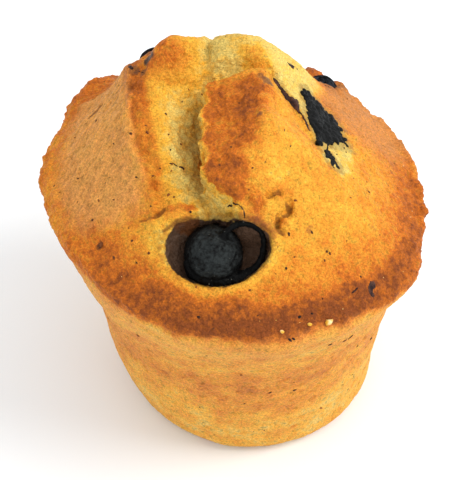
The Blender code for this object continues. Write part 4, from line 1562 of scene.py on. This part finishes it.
def add_skin_scraps(crust):
    """The strip of skin along the fissure, the sliver on the lip and the fine dark threads."""
    pieces = [
        patch("skin_scraps", SKIN_STRIP, crust, 0.7, 0.45, spacing=0.18, ragged=0.15, seed=31),
        patch("sliver", LIP_SLIVER, crust, 0.5, 0.25, spacing=0.16, ragged=0.12, seed=32),
        patch("edge_scrap", EDGE_SCRAP, crust, 0.8, 0.5, spacing=0.18, ragged=0.12, seed=33),
    ]
    pieces += [thread("thread", path, crust, radius) for path, radius in THREADS]
    scraps = join(pieces)
    remesh(scraps, SCRAP_FACET)
    relief(scraps, size=0.8, depth=0.2, noise_depth=2)
    add_kept(scraps, skin_material(), "berry_skin")


# Dark specks that stand out: place near the surface, length and width.
SPECKS = (
    ((6.6, -20.7, 62.0), 0.5, 0.25),
    ((-0.6, -15.3, 68.0), 0.35, 0.25),
    ((-14.7, -6.9, 66.1), 0.3, 0.2),
    ((-19.4, -0.6, 67.8), 0.45, 0.3),
    ((-16.0, 4.2, 67.7), 0.35, 0.25),
    ((-13.1, -1.5, 65.5), 0.3, 0.2),
    ((-15.3, -12.9, 64.0), 0.45, 0.35),
    ((-14.2, -13.4, 64.0), 0.3, 0.2),
    ((-15.1, -4.1, 66.6), 0.3, 0.2),
    ((-22.4, -0.3, 67.0), 0.4, 0.3),
    ((-19.6, 0.9, 68.1), 0.3, 0.2),
    ((-18.3, -8.9, 65.0), 0.3, 0.2),
    ((-16.9, -8.0, 65.6), 0.25, 0.2),
    ((-28.2, -16.5, 54.7), 0.7, 0.5),
    ((-29.5, -12.0, 56.0), 0.35, 0.3),
    ((7.9, -15.6, 65.5), 0.4, 0.25),
    ((-25.0, -19.5, 54.0), 0.5, 0.3),
    ((-18.5, -21.0, 57.0), 0.35, 0.3),
    ((-22.9, 15.9, 67.3), 0.8, 0.4),
    ((17.3, -27.0, 39.2), 0.6, 0.3),
    ((18.4, -26.0, 38.9), 0.9, 0.35),
    ((14.5, -29.3, 40.9), 0.6, 0.3),
    ((6.8, -35.1, 49.5), 0.6, 0.25),
    ((7.5, -34.8, 49.4), 0.5, 0.25),
    ((-2.0, -31.1, 33.8), 0.5, 0.35),
    ((-21.3, -26.1, 39.3), 0.4, 0.3),
    ((-8.3, -33.2, 42.6), 0.35, 0.25),
    ((8.5, -27.3, 23.7), 0.5, 0.4),
    ((3.6, -28.8, 25.1), 0.4, 0.35),
    ((14.0, -22.4, 11.5), 0.45, 0.3),
    ((23.6, -15.0, 24.7), 0.5, 0.35),
    ((20.6, -20.5, 29.1), 0.4, 0.3),
    ((-9.6, -32.3, 52.6), 0.4, 0.3),
    ((-2.2, -31.5, 54.1), 0.35, 0.3),
    ((8.6, -31.7, 51.9), 0.4, 0.3),
    ((10.8, -19.4, 61.0), 0.35, 0.25),
    ((21.3, -7.2, 58.0), 0.35, 0.3),
    ((13.6, -21.4, 58.0), 0.3, 0.3),
)
# Pale crumbs that lie on the front lip: place near the surface and size.
CRUMBS = (
    ((13.9, -31.5, 50.1), 0.75),
    ((14.4, -31.3, 50.2), 0.4),
    ((10.4, -32.4, 50.7), 0.5),
    ((5.3, -34.1, 50.6), 0.5),
)


def scatter(name, places, seed):
    """Small stones at these places on the cake, each turned at random, as one mesh."""
    deselect_all()
    bpy.ops.mesh.primitive_ico_sphere_add(subdivisions=1, radius=MM)
    stone = bpy.context.active_object
    corners = points_of(stone)
    faces = np.array([list(face.vertices) for face in stone.data.polygons])
    chance = np.random.default_rng(seed)
    all_points, all_faces = [], []
    for place, normal, length, width, flat in places:
        normal = Vector(normal)
        side = normal.orthogonal().normalized()
        other = normal.cross(side)
        turn = chance.uniform(0.0, math.pi)
        along = side * math.cos(turn) + other * math.sin(turn)
        across = normal.cross(along)
        uneven = corners * chance.uniform(0.75, 1.2, corners.shape)
        moved = (
            uneven[:, :1] * np.array(along) * length
            + uneven[:, 1:2] * np.array(across) * width
            + uneven[:, 2:] * np.array(normal) * flat
        )
        all_faces.append(faces + len(all_points) * len(corners))
        all_points.append(moved + np.array(place))
    stones = bpy.data.meshes.new(name)
    corners_placed = np.concatenate(all_points) * MM
    stones.from_pydata(corners_placed.tolist(), [], np.concatenate(all_faces).tolist())
    bpy.data.objects.remove(stone, do_unlink=True)
    piece = bpy.data.objects.new(name, stones)
    bpy.context.scene.collection.objects.link(piece)
    return piece


def lip_edge(turn):
    """How far the lip reaches from LIP_CENTRE at this turn in radians."""
    return float(lip_radius(np.array([math.degrees(turn)]))[0])


def on_top(crust, turn, reach):
    """The place of the crust at this turn and reach from LIP_CENTRE, and the way it faces."""
    return crust.below(LIP_CENTRE[0] + reach * math.cos(turn), reach * math.sin(turn))


def add_specks(crust):
    """Seeds and dark flecks all over the cake, and a few pale crumbs."""
    sizes = settings().specks
    chance = np.random.default_rng(SPECK_PLACE_SEED)
    places = []
    for place, length, width in SPECKS:
        found, normal = crust.nearest(place)
        places.append((found, normal, length, width, SPECK_HEIGHT))
    while len(places) < sizes.count:
        turn = chance.uniform(0.0, 2.0 * math.pi)
        if chance.uniform() < SHARE_ON_TOP:
            reach = (lip_edge(turn) - 1.5) * math.sqrt(chance.uniform())
            found, normal = on_top(crust, turn, reach)
        else:
            height = chance.uniform(2.0, 47.0)
            found, normal = crust.nearest((31 * math.cos(turn), 31 * math.sin(turn), height))
        length = sizes.length / MM * chance.uniform(0.4, 1.0) ** 2
        width = length * chance.uniform(0.45, 0.9)
        places.append((found, normal, length, width, SMALL_SPECK_HEIGHT))
    specks = scatter("specks", places, SPECK_SHAPE_SEED)
    add_kept(specks, speck_material(), "berry_skin")
    places = []
    for place, size in CRUMBS:
        found, normal = crust.nearest(place)
        places.append((found + normal * 0.3 * size, normal, size, size * 0.8, size * 0.6))
    for _ in range(TINY_CRUMB_COUNT):
        turn = math.radians(chance.uniform(-150.0, 60.0))
        found, normal = on_top(crust, turn, lip_edge(turn) - chance.uniform(1.5, 3.8))
        size = chance.uniform(0.08, 0.14)
        places.append((found, normal, size, size * 0.8, size * 0.8))
    crumbs = scatter("loose_crumbs", places, CRUMB_SHAPE_SEED)
    add_kept(crumbs, crumb_material(), "crust")


def add_stage():
    """The floor, the even light, the key light and the camera."""
    values = settings().stage
    deselect_all()
    bpy.ops.mesh.primitive_plane_add(size=values.floor_size)
    floor = bpy.context.active_object
    floor.name = "floor"
    material, _, shader = new_material("plain paper", 0.1)
    shader.inputs["Base Color"].default_value = (*values.floor_colour, 1.0)
    shader.inputs["Roughness"].default_value = 0.9
    floor.data.materials.append(material)

    world = bpy.data.worlds.new("white room")
    world.use_nodes = True
    light = world.node_tree.nodes["Background"].inputs
    light["Color"].default_value = (1.0, 1.0, 1.0, 1.0)
    light["Strength"].default_value = values.room_light
    bpy.context.scene.world = world

    key = bpy.data.lights.new("key", "AREA")
    key.shape = "DISK"
    key.size = values.key_size
    key.energy = values.key_power
    key.color = KEY_COLOUR
    lamp = bpy.data.objects.new("key", key)
    bpy.context.scene.collection.objects.link(lamp)
    target = (Vector(CAD_BOX[0]) + Vector(CAD_BOX[1])) / 2
    lamp.location = target + Vector(values.key_place)
    lamp.rotation_euler = (target - lamp.location).to_track_quat("-Z", "Y").to_euler()

    lens = bpy.data.cameras.new("camera")
    lens.lens = LENS
    lens.sensor_width = SENSOR_WIDTH
    lens.clip_start = 0.01
    lens.clip_end = 20.0
    camera = bpy.data.objects.new("camera", lens)
    bpy.context.scene.collection.objects.link(camera)
    camera.location = CAMERA_PLACE
    camera.rotation_euler = (math.radians(90.0 - CAMERA_DOWN), 0.0, 0.0)
    bpy.context.scene.camera = camera
    bpy.context.scene.view_settings.view_transform = "Standard"


def length_property(label, start, what):
    return FloatProperty(name=label, description=what, default=start, unit="LENGTH", precision=5)


def colour_property(label, start, what):
    return FloatVectorProperty(
        name=label, description=what, default=start, size=3, min=0.0, max=1.0, subtype="COLOR"
    )


class CakeSettings(bpy.types.PropertyGroup):
    grain_size: length_property("Grain size", 0.00038, "Size of the finest facets of the crust")
    kept: FloatProperty(
        name="Kept", description="Share of the facets that stay", default=0.54, subtype="FACTOR"
    )
    crumb_depth: length_property("Crumb depth", 0.0007, "Height of the lumps of torn crumb")
    crust_depth: length_property("Crust depth", 0.0003, "Height of the bumps of the baked crust")
    wall_depth: length_property("Wall depth", 0.0003, "Height of the bumps of the wall")
    overhang: FloatProperty(
        name="Overhang",
        description="How far the plate hangs over the split, in millimetres",
        default=1.1,
    )
    pale: colour_property("Pale crumb", tint(230, 200, 108), "Torn crumb that baked least")
    yellow: colour_property("Yellow crumb", tint(236, 176, 58), "Torn crumb near the crust")
    golden: colour_property("Golden crust", tint(224, 146, 44), "Most of the crust")
    orange: colour_property("Orange crust", tint(198, 106, 28), "Crust on ridges and lumps")
    deep: colour_property("Deep crust", tint(130, 66, 25), "The darkest baked edges")
    # Partly the crust's own tone, partly painted sheen of the side away from the key light.
    tan: colour_property("Tan crust", tint(217, 153, 84), "Duller, paler crust of the left flank")
    # Painted shade: the darker olive that stands in for the shade deep in the split.
    valley_shade_colour: colour_property("Valley crumb", tint(140, 110, 46), "Damp crumb deep in the split")
    loose: colour_property("Loose crumb", tint(246, 224, 170), "Crumbs that lie on the crust")
    # Below the front berry this near black is also a painted shadow.
    juice: colour_property("Juice", tint(34, 27, 22), "Crumb soaked with berry juice")
    juice_thin: colour_property("Thin juice", tint(90, 66, 50), "Crumb tinted by berry juice")
    # Painted shade inside the fine cracks.
    crack: colour_property("Crack", tint(104, 58, 26), "The inside of fine cracks")
    fleck: colour_property("Fleck", tint(70, 38, 20), "Small dark flecks")


class BerrySettings(bpy.types.PropertyGroup):
    skin: colour_property("Skin", tint(9, 9, 10), "Baked berry skin")
    skin_light: colour_property("Light skin", tint(13, 14, 14), "Raised folds of the skin")
    bloom: colour_property("Bloom", tint(58, 63, 72), "The dry grey-blue bloom")
    ash: colour_property("Ash", tint(48, 52, 52), "The baked, grey-green bloom")
    # Painted highlights: the pale glints flecked onto the berries' skin.
    glint_highlight: colour_property("Glint", tint(150, 150, 140), "Specks of sugar on the skin")
    dried: colour_property("Dried skin", tint(46, 29, 27), "Dried juice and thin skin")
    dried_light: colour_property("Thin dried skin", tint(92, 60, 48), "The thinnest dried skin")


class SpeckSettings(bpy.types.PropertyGroup):
    count: IntProperty(
        name="Count", description="How many dark specks there are", default=300, min=60
    )
    length: length_property("Length", 0.00036, "Half length of the longest scattered speck")
    dark: colour_property("Dark speck", tint(34, 22, 20), "The darkest seeds")
    middle: colour_property("Brown speck", tint(92, 50, 24), "Most of the flecks")
    light: colour_property("Light speck", tint(140, 78, 34), "The palest flecks")


class StageSettings(bpy.types.PropertyGroup):
    floor_size: length_property("Floor size", 6.0, "Side of the floor")
    floor_colour: colour_property("Floor colour", (0.925, 0.97, 1.0), "Colour of the floor")
    room_light: FloatProperty(
        name="Room light", description="Strength of the even light", default=1.0
    )
    key_power: FloatProperty(
        name="Key power", description="Power of the key light", default=10.7, unit="POWER"
    )
    key_size: length_property("Key size", 0.8, "Width of the key light")
    key_place: FloatVectorProperty(
        name="Key place",
        description="Where the key light stands, from the middle of the cake",
        default=(0.95, -0.15, 1.0),
        subtype="TRANSLATION",
    )


class FriandSettings(bpy.types.PropertyGroup):
    cake: PointerProperty(type=CakeSettings)
    berries: PointerProperty(type=BerrySettings)
    specks: PointerProperty(type=SpeckSettings)
    stage: PointerProperty(type=StageSettings)


class FRIAND_OT_cake(bpy.types.Operator):
    """Build the cake with its crust, torn crumb and hollow"""

    bl_idname = "friand.cake"
    bl_label = "Cake"

    def execute(self, context):
        add_cake()
        return {"FINISHED"}


class FRIAND_OT_front_berry(bpy.types.Operator):
    """Build the berry in the hollow, with its loop of burst skin"""

    bl_idname = "friand.front_berry"
    bl_label = "Front berry"

    def execute(self, context):
        add_front_berry()
        return {"FINISHED"}


class FRIAND_OT_right_berry(bpy.types.Operator):
    """Build the berry that burst on the right flank"""

    bl_idname = "friand.right_berry"
    bl_label = "Right berry"

    def execute(self, context):
        add_right_berry(Crust())
        return {"FINISHED"}


class FRIAND_OT_half_hidden_berries(bpy.types.Operator):
    """Build the berries that only part of shows"""

    bl_idname = "friand.half_hidden_berries"
    bl_label = "Half-hidden berries"

    def execute(self, context):
        add_half_hidden_berries()
        return {"FINISHED"}


class FRIAND_OT_skin_scraps(bpy.types.Operator):
    """Build the dried scraps and threads of skin that lie on the crust"""

    bl_idname = "friand.skin_scraps"
    bl_label = "Skin scraps"

    def execute(self, context):
        add_skin_scraps(Crust())
        return {"FINISHED"}


class FRIAND_OT_specks(bpy.types.Operator):
    """Scatter the dark specks and the loose crumbs"""

    bl_idname = "friand.specks"
    bl_label = "Specks and crumbs"

    def execute(self, context):
        add_specks(Crust())
        return {"FINISHED"}


class FRIAND_OT_stage(bpy.types.Operator):
    """Add the floor, the lights and the camera"""

    bl_idname = "friand.stage"
    bl_label = "Stage"

    def execute(self, context):
        add_stage()
        return {"FINISHED"}


OPERATORS = (
    FRIAND_OT_cake,
    FRIAND_OT_front_berry,
    FRIAND_OT_right_berry,
    FRIAND_OT_half_hidden_berries,
    FRIAND_OT_skin_scraps,
    FRIAND_OT_specks,
    FRIAND_OT_stage,
)


class FRIAND_PT_panel(bpy.types.Panel):
    bl_label = "Friand"
    bl_idname = "FRIAND_PT_panel"
    bl_space_type = "VIEW_3D"
    bl_region_type = "UI"
    bl_category = "Friand"

    def draw(self, context):
        for operator in OPERATORS:
            self.layout.operator(operator.bl_idname)
        for group in (settings().cake, settings().berries, settings().specks, settings().stage):
            box = self.layout.box()
            for name in group.__annotations__:
                box.prop(group, name)


CLASSES = (
    CakeSettings,
    BerrySettings,
    SpeckSettings,
    StageSettings,
    FriandSettings,
    *OPERATORS,
    FRIAND_PT_panel,
)


def register():
    for each in CLASSES:
        bpy.utils.register_class(each)
    bpy.types.Scene.friand = PointerProperty(type=FriandSettings)


def unregister():
    del bpy.types.Scene.friand
    for each in reversed(CLASSES):
        bpy.utils.unregister_class(each)


def main():
    register()
    for operator in OPERATORS:
        getattr(bpy.ops.friand, operator.bl_idname.split(".")[1])()


if __name__ == "__main__":
    main()
